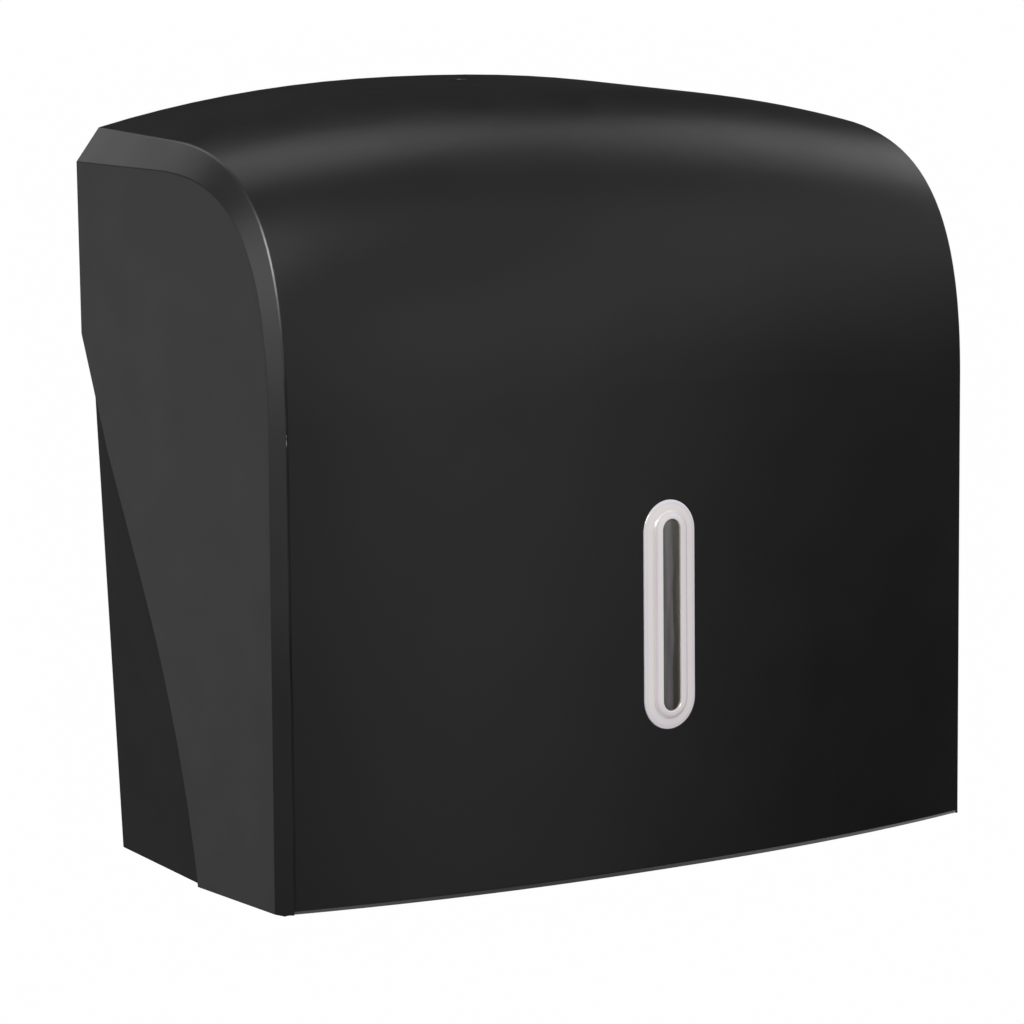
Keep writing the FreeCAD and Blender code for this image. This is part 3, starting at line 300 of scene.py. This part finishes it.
def lockMetal():
    material, tree, shader = newMaterial("lockMetal", (0.62, 0.60, 0.57), 0.22, Metallic=1)
    point = objectPoint(tree)
    colour = blendColour(tree, spread(tree, noise(tree, point, 0.003, 3), 0, 1), (0.62, 0.60, 0.57),
                         (0.52, 0.50, 0.48))
    tree.links.new(colour, shader.inputs["Base Color"])
    centred = addNode(tree, "ShaderNodeMapping", {"Vector": point, "Location": (0, 0.022, 0)}).outputs["Vector"]
    turning = addNode(tree, "ShaderNodeTexWave", {"Vector": centred, "Scale": 1100, "Distortion": 0.6},
                      wave_type="RINGS", rings_direction="Z").outputs["Fac"]
    tree.links.new(spread(tree, turning, 0.18, 0.3, 0, 1), shader.inputs["Roughness"])
    tree.links.new(bump(tree, turning, 0.004 * mm), shader.inputs["Normal"])
    return material


finishes = {
    "cover_plastic": mouldedPlastic("coverPlastic"),
    "housing_plastic": mouldedPlastic("housingPlastic"),
    "liner_plastic": mouldedPlastic("linerPlastic"),
    "guide_plastic": mouldedPlastic("guidePlastic"),
    "clip_plastic": mouldedPlastic("clipPlastic"),
    "bush_plastic": mouldedPlastic("bushPlastic"),
    "bezel_plastic": bezelPlastic(),
    "smoked_lens": smokedLens(),
    "zinc_steel": zincSteel(),
    "lock_metal": lockMetal(),
}
for node, slot in nodeSlots.items():
    nodes[node].data.materials.clear()
    nodes[node].data.materials.append(finishes[slot])
print("finishes made:", len(finishes))


# meshes; places and sizes are millimetres until newMesh turns them into metres

def nodeBox(node):
    low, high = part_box(node)
    return low / mm, high / mm


def nodeMiddle(node):
    low, high = nodeBox(node)
    return (low + high) / 2


def newMesh(name, points, faces):
    mesh = bpy.data.meshes.new(name)
    mesh.from_pydata([tuple(point * mm) for point in points], [], faces)
    tidy = bmesh.new()
    tidy.from_mesh(mesh)
    bmesh.ops.remove_doubles(tidy, verts=tidy.verts, dist=0.001 * mm)
    bmesh.ops.recalc_face_normals(tidy, faces=tidy.faces)
    tidy.to_mesh(mesh)
    tidy.free()
    piece = bpy.data.objects.new(name, mesh)
    bpy.context.scene.collection.objects.link(piece)
    return piece


def arcPoints(centre, radius, start, end, steps=6):
    turns = [math.radians(start + (end - start) * i / steps) for i in range(steps + 1)]
    return [(centre[0] + radius * math.cos(t), centre[1] + radius * math.sin(t)) for t in turns]


def roundCorners(corners, steps=4):
    # corners of (x, y, radius), each rounded by its own radius
    outline = []
    for i, (x, y, radius) in enumerate(corners):
        here = Vector((x, y))
        before = (Vector(corners[i - 1][:2]) - here).normalized()
        after = (Vector(corners[(i + 1) % len(corners)][:2]) - here).normalized()
        half = before.angle(after) / 2
        centre = here + (before + after).normalized() * radius / math.sin(half)
        reach = radius / math.tan(half)
        for step in range(steps + 1):
            spoke = (here + before * reach).lerp(here + after * reach, step / steps) - centre
            outline.append(centre + spoke.normalized() * radius)
    return outline


def turned(name, profile, place, straight=0, steps=48):
    # profile of (radius, height) carried round a circle, or round a stadium that is long in local Y;
    # a third number makes the stadium longer at that point
    half = steps // 2
    spots = [(math.pi * i / half, 0.5) for i in range(half + 1)]
    spots += [(math.pi + math.pi * i / half, -0.5) for i in range(half + 1)]
    points = [place @ Vector((r * math.cos(turn), r * math.sin(turn) + end * (straight + sum(more)), h))
              for turn, end in spots for r, h, *more in profile]
    count = len(profile)
    bands = count if profile[0][0] > 0 else count - 1  # a profile that starts on the axis stays open
    faces = []
    for i in range(len(spots)):
        j = (i + 1) % len(spots)
        for k in range(bands):
            n = (k + 1) % count
            faces.append((i * count + k, i * count + n, j * count + n, j * count + k))
    return newMesh(name, points, faces)


def loft(name, rings, place=Matrix()):
    # rings of (outline, level), capped at both ends
    points = [place @ Vector((x, y, level)) for outline, level in rings for x, y in outline]
    count = len(rings[0][0])
    faces = [tuple(range(count)), tuple(range(len(points) - count, len(points)))]
    for start in range(0, len(points) - count, count):
        for i in range(count):
            n = (i + 1) % count
            faces.append((start + i, start + n, start + count + n, start + count + i))
    return newMesh(name, points, faces)


def plate(name, outline, low, high, place=Matrix()):
    return loft(name, [(outline, low), (outline, high)], place)


def settle(piece):
    graph = bpy.context.evaluated_depsgraph_get()
    made = bpy.data.meshes.new_from_object(piece.evaluated_get(graph))
    piece.modifiers.clear()
    piece.data = made


def combine(piece, other, how):
    tool = piece.modifiers.new("combine", "BOOLEAN")
    tool.operation = how
    tool.solver = "EXACT"
    tool.object = other
    settle(piece)
    bpy.data.objects.remove(other)


def roundEdges(piece, radius, segments=2, limit=30):
    tool = piece.modifiers.new("rounding", "BEVEL")
    tool.width = radius * mm
    tool.segments = segments
    tool.limit_method = "ANGLE"
    tool.angle_limit = math.radians(limit)
    settle(piece)


def dress(piece, node, smoothAngle=35):
    slot = nodeSlots[node]
    piece.data.materials.clear()
    piece.data.materials.append(finishes[slot])
    piece.data.shade_smooth()
    piece.data.set_sharp_from_angle(angle=math.radians(smoothAngle))
    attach(piece, nodeBodies[node])
    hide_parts(node)


def bore(radius, low, high, place):
    return turned("bore", [(0, low), (radius, low), (radius, high), (0, high)], place, steps=32)


# towel window: a bezel that rises to a low bead, a bulged lens, and a clip ring behind them

window = {
    "straight": 55.8,
    "slotStraight": 57,
    "lean": 0.015,  # back per unit up
    "lensMiddle": -0.1,  # middle of the lens's thickness above the cover's face
    "rim": 10.5,
    "rimFoot": -0.9,
    "rimTop": 0.3,
    "rimRound": 0.5,
    "apron": (9.1, 0.42),  # radius and height where the flange levels out
    "beadStep": (6.95, 0.5),
    "beadFoot": (6.62, 0.98),
    "beadTop": (5.5, 1.56),
    "slot": 3.6,
    "slotTop": 1.7,
    "slotRound": 0.3,
    "neck": 7.5,
    "neckFoot": -4.5,
    "lensRadius": 5.5,
    "lensFace": 0.88,
    "lensBack": -1.1,
    "lensCrown": 1.34,
    "clipRadius": 11,
    "clipSeat": -2.2,
    "clipFoot": -5.5,
    "clipView": 4.2,
}


def windowPlace():
    lean = Matrix.Rotation(math.radians(90) - math.atan(window["lean"]), 4, "X")
    return Matrix.Translation(nodeMiddle("window_lens")) @ lean @ Matrix.Translation((0, 0, -window["lensMiddle"]))


def lengthened(points):
    # profile points that follow the slot, which is a little longer than the bezel
    return [(radius, height, window["slotStraight"] - window["straight"]) for radius, height in points]


def makeBezel(place):
    w = window
    rim = w["rimRound"]
    step, foot, top = w["beadStep"], w["beadFoot"], w["beadTop"]
    profile = [(w["rim"], w["rimFoot"])]
    profile += arcPoints((w["rim"] - rim, w["rimTop"] - rim), rim, 0, 75)
    profile += [w["apron"], (step[0] + 0.3, step[1] - 0.02), step, (foot[0] + 0.12, foot[1] - 0.12), foot,
                (foot[0] - 0.2, foot[1] + 0.14), (top[0] + 0.25, top[1] - 0.07), top]
    inner = w["slotRound"]
    profile += lengthened(arcPoints((w["slot"] + inner, w["slotTop"] - inner), inner, 88, 180))
    hold = w["lensRadius"] + 0.05
    profile += lengthened([(w["slot"], w["lensFace"] + 0.02)])
    profile += [(hold, w["lensFace"] + 0.02), (hold, w["neckFoot"]), (w["neck"], w["neckFoot"]),
                (w["neck"], w["rimFoot"])]
    dress(turned("bezel", profile, place, w["straight"], 96), "window_bezel", 50)


def makeLens(place):
    w = window
    edge = w["slot"] - 0.04
    rise = w["lensCrown"] - w["lensFace"]
    turns = [math.radians(9 * i) for i in range(11)]
    dome = [(edge * math.sin(t), w["lensFace"] + rise * math.cos(t)) for t in turns]
    profile = lengthened(dome)
    profile += [(w["lensRadius"], w["lensFace"]), (w["lensRadius"], w["lensBack"]), (0, w["lensBack"])]
    dress(turned("lens", profile, place, w["straight"], 96), "window_lens", 50)


def makeClipRing(place):
    w = window
    back = w["clipFoot"]
    profile = [(w["clipRadius"], w["clipSeat"]), (w["neck"] + 0.05, w["clipSeat"]),
               (w["neck"] + 0.05, w["neckFoot"]), (w["lensRadius"], w["neckFoot"]),
               (w["lensRadius"], w["lensBack"] - 0.02)]
    profile += lengthened([(w["clipView"] + 0.3, w["lensBack"] - 0.02), (w["clipView"], w["lensBack"] - 0.3)])
    profile += lengthened(arcPoints((w["clipView"] + 0.4, back + 0.4), 0.4, 180, 270, 4))
    profile += arcPoints((w["clipRadius"] - 0.8, back + 0.8), 0.8, 270, 360, 5)
    ring = turned("clipRing", profile, place, w["straight"], 96)
    for along in (-20, 0, 20):  # snap fingers over the neck
        for side in (-1, 1):
            spot = side * (w["neck"] + 0.6)
            finger = roundCorners([(spot - 1.1, along - 3, 0.5), (spot + 1.1, along - 3, 0.5),
                                   (spot + 1.1, along + 3, 0.5), (spot - 1.1, along + 3, 0.5)])
            tab = plate("finger", finger, back - 0.7, back + 0.4, place)
            roundEdges(tab, 0.2)
            combine(ring, tab, "UNION")
    dress(ring, "window_retainer")


def makeWindow():
    place = windowPlace()
    makeBezel(place)
    makeLens(place)
    makeClipRing(place)


makeWindow()
print("window made")


# liner of the dispensing slot, with rounded lips for the towels to slide over

liner = {
    "flange": 24,
    "flangeThickness": 1.2,
    "outer": 19.95,
    "inner": 18,
    "lipRound": 1.15,
    "footRound": 0.8,
}


def makeLiner():
    low, high = nodeBox("throat_insert")
    n = liner
    top = n["flangeThickness"]
    foot = low.z - high.z + top
    edge = 0.5
    profile = [(n["flange"], 0)]
    profile += arcPoints((n["flange"] - edge, top - edge), edge, 0, 90, 4)
    profile += arcPoints((n["inner"] + n["lipRound"], top - n["lipRound"]), n["lipRound"], 90, 180)
    profile += arcPoints((n["inner"] + n["footRound"], foot + n["footRound"]), n["footRound"], 180, 270, 5)
    profile += [(n["outer"] - 0.4, foot), (n["outer"], foot + 0.4), (n["outer"], 0)]
    middle = nodeMiddle("throat_insert")
    place = Matrix.Translation((middle.x, middle.y, high.z - top)) @ Matrix.Rotation(math.radians(-90), 4, "Z")
    straight = (high.x - low.x) - (high.y - low.y)
    dress(turned("slotLiner", profile, place, straight, 96), "throat_insert")


makeLiner()
print("liner made")


# towel guides: ribbed side walls on a foot with split pegs

guide = {
    "wall": 1.5,
    "corner": 10,
    "cornerRound": 4,
    "ribDepths": (25, 45, 65),  # from the wall
    "ribWidth": 1.2,
    "ribHead": 118,
    "pegRadius": 2,
    "pegInset": 10,
    "floor": 2.5,
}


def makeGuide(side, sign):
    g = guide
    node = "stack_guide_" + side
    low, high = nodeBox(node)
    inner = min(abs(low.x), abs(high.x))
    footWidth = high.x - low.x
    front, rear = -low.y, -high.y
    base = low.z + g["floor"]
    head = high.z - base
    shoulder = head - g["corner"]
    bend = g["cornerRound"]
    fromSide = Matrix(((0, 0, sign, sign * inner), (-1, 0, 0, 0), (0, 1, 0, base), (0, 0, 0, 1)))
    fromAbove = Matrix(((sign, 0, 0, sign * inner), (0, -1, 0, 0), (0, 0, 1, base), (0, 0, 0, 1)))
    fromFront = Matrix(((sign, 0, 0, sign * inner), (0, 0, -1, 0), (0, 1, 0, base), (0, 0, 0, 1)))
    outline = roundCorners([(rear, 0, 0.5), (front, 0, 0.5), (front, shoulder, bend), (front - g["corner"], head, bend),
                            (rear + g["corner"], head, bend), (rear, shoulder, bend)])
    piece = plate("towelGuide." + side, outline, 0, g["wall"], fromSide)
    roundEdges(piece, 0.35, 3)
    footOutline = roundCorners([(0.1, rear + 0.2, 0.2), (footWidth, rear + 0.2, 1.2), (footWidth, front - 0.2, 1.2),
                                (0.1, front - 0.2, 0.2)])
    foot = plate("foot", footOutline, 0.02, g["wall"], fromAbove)
    roundEdges(foot, 0.3)
    combine(piece, foot, "UNION")
    for depth in g["ribDepths"]:
        reach = footWidth - 0.3
        rib = roundCorners([(g["wall"] - 0.4, 0.5, 0.1), (reach, 0.5, 0.1), (reach, 10, 3),
                            (g["wall"] + 0.8, g["ribHead"] - 6, 3), (g["wall"] - 0.4, g["ribHead"], 0.1)])
        web = plate("rib", rib, depth - g["ribWidth"] / 2, depth + g["ribWidth"] / 2, fromFront)
        roundEdges(web, 0.2)
        combine(piece, web, "UNION")
    for depth in (rear + g["pegInset"], front - g["pegInset"]):
        place = fromAbove @ Matrix.Translation((footWidth / 2, depth, 0))
        radius = g["pegRadius"]
        peg = turned("peg", [(0, -g["floor"]), (radius - 0.5, -g["floor"]), (radius, 0.5 - g["floor"]), (radius, 0.6),
                             (0, 0.6)], place, steps=32)
        split = plate("split", [(-0.35, -3), (0.35, -3), (0.35, 3), (-0.35, 3)], -2 * g["floor"], -0.1, place)
        combine(peg, split, "DIFFERENCE")
        combine(piece, peg, "UNION")
    dress(piece, node)


for side, sign in (("left", -1), ("right", 1)):
    makeGuide(side, sign)
print("towel guides made")


# pan-head screws with a tapered cross recess and grooved shanks

smallScrew = {
    "headRadius": 3.2,
    "headHeight": 1.8,
    "shankRadius": 1.6,
    "pitch": 1.1,
    "groove": 0.28,
    "crossReach": 1.9,
    "crossHalf": 0.42,
    "crossDepth": 1.0,
}
camScrew = dict(smallScrew, headRadius=3.5, headHeight=2, shankRadius=1.5, crossReach=2.1)


def crossOutline(reach, half):
    corner = [(reach, half), (half, half), (half, reach)]
    outline = []
    for turn in range(4):
        spin = Matrix.Rotation(math.radians(90 * turn), 2)
        outline += [tuple(spin @ Vector(point)) for point in corner[:]]
    return outline


def makeScrew(node, shape, headDown=False):
    s = shape
    low, high = nodeBox(node)
    middle = nodeMiddle(node)
    top = s["headHeight"]
    rim = 0.5
    length = high.z - low.z - top
    profile = [(0, top)]
    profile += [(s["headRadius"] * math.sin(t), rim + (top - rim) * math.cos(t) ** 0.5)
                for t in (math.radians(10 * i) for i in range(1, 10))]
    profile += [(s["headRadius"], 0.15), (s["headRadius"] - 0.15, 0), (s["shankRadius"], 0)]
    core = s["shankRadius"] - s["groove"]
    level = -0.5
    while level - s["pitch"] > 0.9 - length:
        profile += [(s["shankRadius"], level), (s["shankRadius"], level - 0.12), (core, level - 0.4),
                    (core, level - s["pitch"] + 0.3)]
        level -= s["pitch"]
    profile += [(core, 0.9 - length), (0.5, -length), (0, -length)]
    if headDown:
        place = Matrix.Translation((middle.x, middle.y, low.z + top)) @ Matrix.Rotation(math.pi, 4, "X")
    else:
        place = Matrix.Translation((middle.x, middle.y, high.z - top))
    screw = turned(node.replace("_", "."), profile, place, steps=40)
    foot = crossOutline(s["crossReach"] * 0.55, s["crossHalf"] * 0.6)
    mouth = crossOutline(s["crossReach"], s["crossHalf"])
    combine(screw, loft("cross", [(foot, top - s["crossDepth"]), (mouth, top + 0.05)], place), "DIFFERENCE")
    dress(screw, node, 40)


for side in ("left", "right"):
    makeScrew("catch_screw_" + side, smallScrew)
    makeScrew("lock_screw_" + side, smallScrew, True)
makeScrew("cam_screw", camScrew, True)
print("screws made")


# catch: bent sheet steel with relief notches beside the tab

catch = {
    "thickness": 1.5,
    "bend": 1,  # inside radius
    "corner": 2.5,
    "tabLeft": -20,
    "tabRight": -10,
    "relief": 0.8,
    "reliefDepth": 3,
    "hole": 1.65,
    "holeOffset": 16,
    "holeDepth": 18,
}


def makeCatch():
    c = catch
    low, high = nodeBox("catch_bracket")
    thickness = c["thickness"]
    left, right = c["tabLeft"] - c["relief"], c["tabRight"] + c["relief"]
    inside = low.y + c["reliefDepth"]
    corner = c["corner"]
    base = roundCorners([(high.x, high.y, corner), (low.x, high.y, corner), (low.x, low.y, corner),
                         (left, low.y, 0.3), (left, inside, 0.35), (right, inside, 0.35), (right, low.y, 0.3),
                         (high.x, low.y, corner)])
    place = Matrix.Translation((0, 0, low.z))
    bracket = plate("catchBracket", base, 0, thickness, place)
    outer = c["bend"] + thickness
    centre = (low.y + outer, outer)
    strip = [(inside + 1, 0)] + arcPoints(centre, outer, 270, 180)
    strip += [(low.y, high.z - low.z), (low.y + thickness, high.z - low.z)]
    strip += arcPoints(centre, c["bend"], 180, 270) + [(inside + 1, thickness)]
    fromSide = Matrix(((0, 0, 1, 0), (1, 0, 0, 0), (0, 1, 0, low.z), (0, 0, 0, 1)))
    combine(bracket, plate("tab", strip, c["tabLeft"], c["tabRight"], fromSide), "UNION")
    for sign in (-1, 1):
        spot = Matrix.Translation((sign * c["holeOffset"], -c["holeDepth"], low.z))
        combine(bracket, bore(c["hole"], -1, thickness + 1, spot), "DIFFERENCE")
    roundEdges(bracket, 0.2, 2, 40)
    dress(bracket, "catch_bracket")


makeCatch()
print("catch made")


# hinge pins with domed heads, and their flanged bushes

hinge = {
    "headRadius": 5,
    "headThickness": 1.5,
    "pinRadius": 3,
    "bore": 3.05,
    "flangeRadius": 7,
    "flange": 1,
    "sleeve": 4.5,
}


def makeHinge(side, sign):
    h = hinge
    for node in ("hinge_pin_" + side, "hinge_bush_" + side):
        low, high = nodeBox(node)
        middle = nodeMiddle(node)
        inner = min(abs(low.x), abs(high.x))
        length = high.x - low.x
        place = Matrix.Translation((sign * inner, middle.y, middle.z))
        place = place @ Matrix.Rotation(sign * math.radians(90), 4, "Y")
        if "pin" in node:
            radius, head = h["headRadius"], h["headThickness"]
            profile = [(0, 0), (radius * 0.5, 0.06), (radius * 0.8, 0.28), (radius * 0.95, 0.62), (radius, 1),
                       (radius, head - 0.1), (radius - 0.1, head), (h["pinRadius"], head),
                       (h["pinRadius"], length - 0.7), (h["pinRadius"] - 0.7, length), (0, length)]
            dress(turned("hingePin." + side, profile, place), node)
        else:
            profile = [(h["bore"], 0.3), (h["bore"] + 0.3, 0), (h["flangeRadius"] - 0.3, 0),
                       (h["flangeRadius"], 0.3), (h["flangeRadius"], h["flange"]), (h["sleeve"], h["flange"]),
                       (h["sleeve"], length - 0.4), (h["sleeve"] - 0.4, length), (h["bore"] + 0.2, length),
                       (h["bore"], length - 0.2)]
            dress(turned("hingeBush." + side, profile, place), node)


for side, sign in (("left", -1), ("right", 1)):
    makeHinge(side, sign)
print("hinge made")


# cam lock: flanged body, barrel with a key slot, and the cam

lock = {
    "radius": 6,
    "flangeRadius": 9,
    "flangeFoot": -14,
    "flangeTop": -12,
    "earOffset": 12,
    "earRadius": 4.5,
    "fillet": 3,
    "earHole": 1.65,
    "barrel": 4,
    "head": 4.9,
    "recess": 1.5,
    "headGap": 0.13,  # the head's top stands 0.1 below the body's, and 0.03 is left under the head
    "keySlot": (1.2, 6, 4),
    "screwBore": 1.55,
    "screwDepth": 5.05,
    "cam": (5.5, 4, 16),  # hub, half width, reach
}


def filletPlace(hub, fillet, edge):
    # centre of a fillet between a hub and a straight edge beside it, and its direction in degrees
    across = edge + fillet
    along = math.sqrt((hub + fillet) ** 2 - across ** 2)
    return across, along, math.degrees(math.atan2(along, across))


def earedOutline():
    k = lock
    up, out, _ = filletPlace(k["flangeRadius"], k["fillet"], k["earRadius"])
    turn = math.degrees(math.atan2(up, out))
    outline = []
    for side in (0, 180):
        quarter = arcPoints((k["earOffset"], 0), k["earRadius"], -90, 90, 12)
        quarter += arcPoints((out, up), k["fillet"], 270, 180 + turn, 5)
        quarter += arcPoints((0, 0), k["flangeRadius"], turn, 180 - turn, 10)
        quarter += arcPoints((-out, up), k["fillet"], -turn, -90, 5)
        spin = Matrix.Rotation(math.radians(side), 2)
        outline += [tuple(spin @ Vector(point)) for point in quarter]
    return outline


def makeLockBody():
    k = lock
    low, high = nodeBox("lock_body")
    middle = nodeMiddle("lock_body")
    place = Matrix.Translation((middle.x, -22, high.z))
    foot = low.z - high.z
    inner = k["barrel"] + 0.05
    recess = k["head"] + 0.05
    profile = [(inner, foot), (k["radius"] - 0.4, foot), (k["radius"], foot + 0.4), (k["radius"], -0.3),
               (k["radius"] - 0.3, 0), (recess, 0), (recess, -k["recess"]), (inner, -k["recess"])]
    body = turned("lockBody", profile, place)
    flange = plate("flange", earedOutline(), k["flangeFoot"], k["flangeTop"], place)
    roundEdges(flange, 0.3)
    combine(flange, bore(k["radius"] - 0.8, k["flangeFoot"] - 1, k["flangeTop"] + 1, place), "DIFFERENCE")
    for sign in (-1, 1):
        spot = place @ Matrix.Translation((sign * k["earOffset"], 0, 0))
        combine(flange, bore(k["earHole"], k["flangeFoot"] - 1, k["flangeTop"] + 1, spot), "DIFFERENCE")
    combine(body, flange, "UNION")
    dress(body, "lock_body")


def makeBarrel():
    k = lock
    low, high = nodeBox("lock_barrel")
    middle = nodeMiddle("lock_barrel")
    place = Matrix.Translation((middle.x, middle.y, high.z))
    foot = low.z - high.z
    neck = k["headGap"] - k["recess"]
    profile = [(0, 0), (3.7, 0), (3.8, -0.15), (4.1, -0.15), (4.2, 0), (k["head"] - 0.25, 0), (k["head"], -0.25),
               (k["head"], neck), (k["barrel"], neck), (k["barrel"], foot + 0.4), (k["barrel"] - 0.4, foot), (0, foot)]
    barrel = turned("lockBarrel", profile, place)
    wide, long, deep = k["keySlot"]
    outline = roundCorners([(wide / 2, long / 2, 0.3), (-wide / 2, long / 2, 0.3), (-wide / 2, -long / 2, 0.3),
                            (wide / 2, -long / 2, 0.3)])
    combine(barrel, plate("keySlot", outline, -deep, 1, place), "DIFFERENCE")
    combine(barrel, bore(k["screwBore"], foot - 1, foot + k["screwDepth"], place), "DIFFERENCE")
    dress(barrel, "lock_barrel")


def makeCam():
    hub, half, reach = lock["cam"]
    low, high = nodeBox("lock_cam")
    across, along, turn = filletPlace(hub, lock["fillet"], half)
    outline = arcPoints((0, 0), hub, 180 - turn, 360 + turn, 24)
    outline += arcPoints((across, along), lock["fillet"], 180 + turn, 180, 4)
    outline += arcPoints((0, reach - half), half, 0, 180, 14)
    outline += arcPoints((-across, along), lock["fillet"], 0, -turn, 4)
    place = Matrix.Translation((0, low.y + hub, low.z))
    cam = plate("lockCam", outline, 0, high.z - low.z, place)
    roundEdges(cam, 0.35, 3)
    combine(cam, bore(lock["screwBore"], -1, high.z - low.z + 1, place), "DIFFERENCE")
    dress(cam, "lock_cam")


makeLockBody()
makeBarrel()
makeCam()
print("lock made")


# studio: white floor and backdrop, a soft tent that gloss and metal reflect, and plain lamps

studio = {
    "floorHeight": -2.2,
    "floorHalf": 60,
    "floorWhite": 0.985,  # the rest of the floor takes light and shadow
    "fill": 0.6,  # world light
    "tentRadius": 2.45,
}
tentGlows = {
    # name: azimuth from the front towards the right, elevation, half width in degrees, radiance
    "front": (18, 26, 40, 0.32),
    "frontLow": (17, -1, 27, 0.48),
    "right": (52, 19, 28, 0.42),
    "over": (50, 62, 38, 0.17),
    "rightHigh": (86, 24, 26, 0.22),
    "bandLow": (111, 14, 17, 1.15),
    "bandMiddle": (101, 42, 21, 0.85),
    "bandHigh": (146, 66, 23, 0.95),
    "dim": (150, 10, 50, 0.02),
    "back": (178, 52, 26, 0.15),
    "leftLow": (-102, 10, 22, 1.8),
    "leftWide": (-80, 32, 42, 0.8),
    "glint": (-57, 34, 17, 22),
    "leftFront": (-35, 45, 28, 2.1),
    "wallHigh": (-162, 42, 25, 1.4),
    "wallLow": (-146, -5, 21, 0.66),
    "wallFoot": (-145, -35, 26, 0.3),
    "floorRight": (112, -40, 22, 0.8),
    "rightSide": (100, -10, 27, 0.4),
}
lamps = {
    # name: azimuth, elevation, distance, width, height, radiance, seen in gloss
    "topBox": (60, 62, 2.2, 1.3, 1.3, 2.0, False),
    "keyBox": (-25, 42, 2.6, 1.3, 1.3, 5.0, False),
    "leftBox": (-110, 25, 2.6, 1.3, 1.3, 2.5, False),
}


def towards(azimuth, elevation):
    a, e = math.radians(azimuth), math.radians(elevation)
    return Vector((math.sin(a) * math.cos(e), -math.cos(a) * math.cos(e), math.sin(e)))


def seenWhite(tree):
    path = addNode(tree, "ShaderNodeLightPath")
    seen = larger(tree, path.outputs["Is Camera Ray"], path.outputs["Is Glossy Ray"])
    return larger(tree, seen, path.outputs["Is Transmission Ray"])


def makeWorld():
    world = bpy.data.worlds.new("studioWorld")
    bpy.context.scene.world = world
    world.use_nodes = True
    tree = world.node_tree
    tree.nodes.clear()
    fill = addNode(tree, "ShaderNodeBackground", {"Color": (1, 1, 1, 1), "Strength": studio["fill"]})
    white = addNode(tree, "ShaderNodeBackground", {"Color": (1, 1, 1, 1), "Strength": 1})
    mix = addNode(tree, "ShaderNodeMixShader", {0: seenWhite(tree), 1: fill.outputs[0], 2: white.outputs[0]})
    out = addNode(tree, "ShaderNodeOutputWorld")
    tree.links.new(mix.outputs[0], out.inputs["Surface"])


def makeFloor():
    half = studio["floorHalf"]
    height = studio["floorHeight"]
    mesh = bpy.data.meshes.new("floor")
    corners = [(-half, -half, height), (half, -half, height), (half, half, height), (-half, half, height)]
    mesh.from_pydata(corners, [], [(0, 1, 2, 3)])
    material, tree, shader = newMaterial("floorPaper", (0.9, 0.9, 0.9), 0.9)
    share = addNode(tree, "ShaderNodeMath", {0: seenWhite(tree), 1: studio["floorWhite"]},
                    operation="MULTIPLY").outputs[0]
    white = addNode(tree, "ShaderNodeEmission", {"Color": (1, 1, 1, 1), "Strength": 1})
    mix = addNode(tree, "ShaderNodeMixShader", {0: share, 1: shader.outputs[0], 2: white.outputs[0]})
    tree.links.new(mix.outputs[0], tree.nodes["Material Output"].inputs["Surface"])
    mesh.materials.append(material)
    floor = bpy.data.objects.new("floor", mesh)
    bpy.context.scene.collection.objects.link(floor)


def makeTent():
    mesh = bpy.data.meshes.new("tent")
    shell = bmesh.new()
    bmesh.ops.create_uvsphere(shell, u_segments=48, v_segments=24, radius=studio["tentRadius"])
    shell.to_mesh(mesh)
    shell.free()
    material = bpy.data.materials.new("tentCloth")
    material.use_nodes = True
    tree = material.node_tree
    place = addNode(tree, "ShaderNodeNewGeometry").outputs["Position"]
    facing = addNode(tree, "ShaderNodeVectorMath", {0: place}, operation="NORMALIZE").outputs[0]
    total = None
    for azimuth, elevation, halfWidth, radiance in tentGlows.values():
        near = addNode(tree, "ShaderNodeVectorMath", {0: facing, 1: towards(azimuth, elevation)},
                       operation="DOT_PRODUCT").outputs["Value"]
        edge = math.cos(math.radians(halfWidth))
        glow = addNode(tree, "ShaderNodeMapRange", {"Value": near, "From Min": edge, "From Max": 1, "To Min": 0,
                                                    "To Max": radiance}, interpolation_type="SMOOTHSTEP").outputs[0]
        if total is None:
            total = glow
        else:
            total = addNode(tree, "ShaderNodeMath", {0: total, 1: glow}, operation="ADD").outputs[0]
    cloth = addNode(tree, "ShaderNodeEmission", {"Color": (1, 1, 1, 1), "Strength": total})
    tree.links.new(cloth.outputs[0], tree.nodes["Material Output"].inputs["Surface"])
    mesh.materials.append(material)
    tent = bpy.data.objects.new("tent", mesh)
    tent.visible_camera = False
    tent.visible_diffuse = False
    tent.visible_transmission = False
    tent.visible_shadow = False
    bpy.context.scene.collection.objects.link(tent)


def makeLamps():
    for name, (azimuth, elevation, distance, width, height, radiance, inGloss) in lamps.items():
        lamp = bpy.data.lights.new(name, "AREA")
        lamp.shape = "RECTANGLE"
        lamp.size = width
        lamp.size_y = height
        lamp.energy = radiance * width * height * math.pi
        box = bpy.data.objects.new(name, lamp)
        box.location = towards(azimuth, elevation) * distance
        box.rotation_euler = (-box.location).to_track_quat("-Z", "Y").to_euler()
        box.visible_glossy = inGloss
        bpy.context.scene.collection.objects.link(box)


makeWorld()
makeFloor()
makeTent()
makeLamps()
print("studio made")
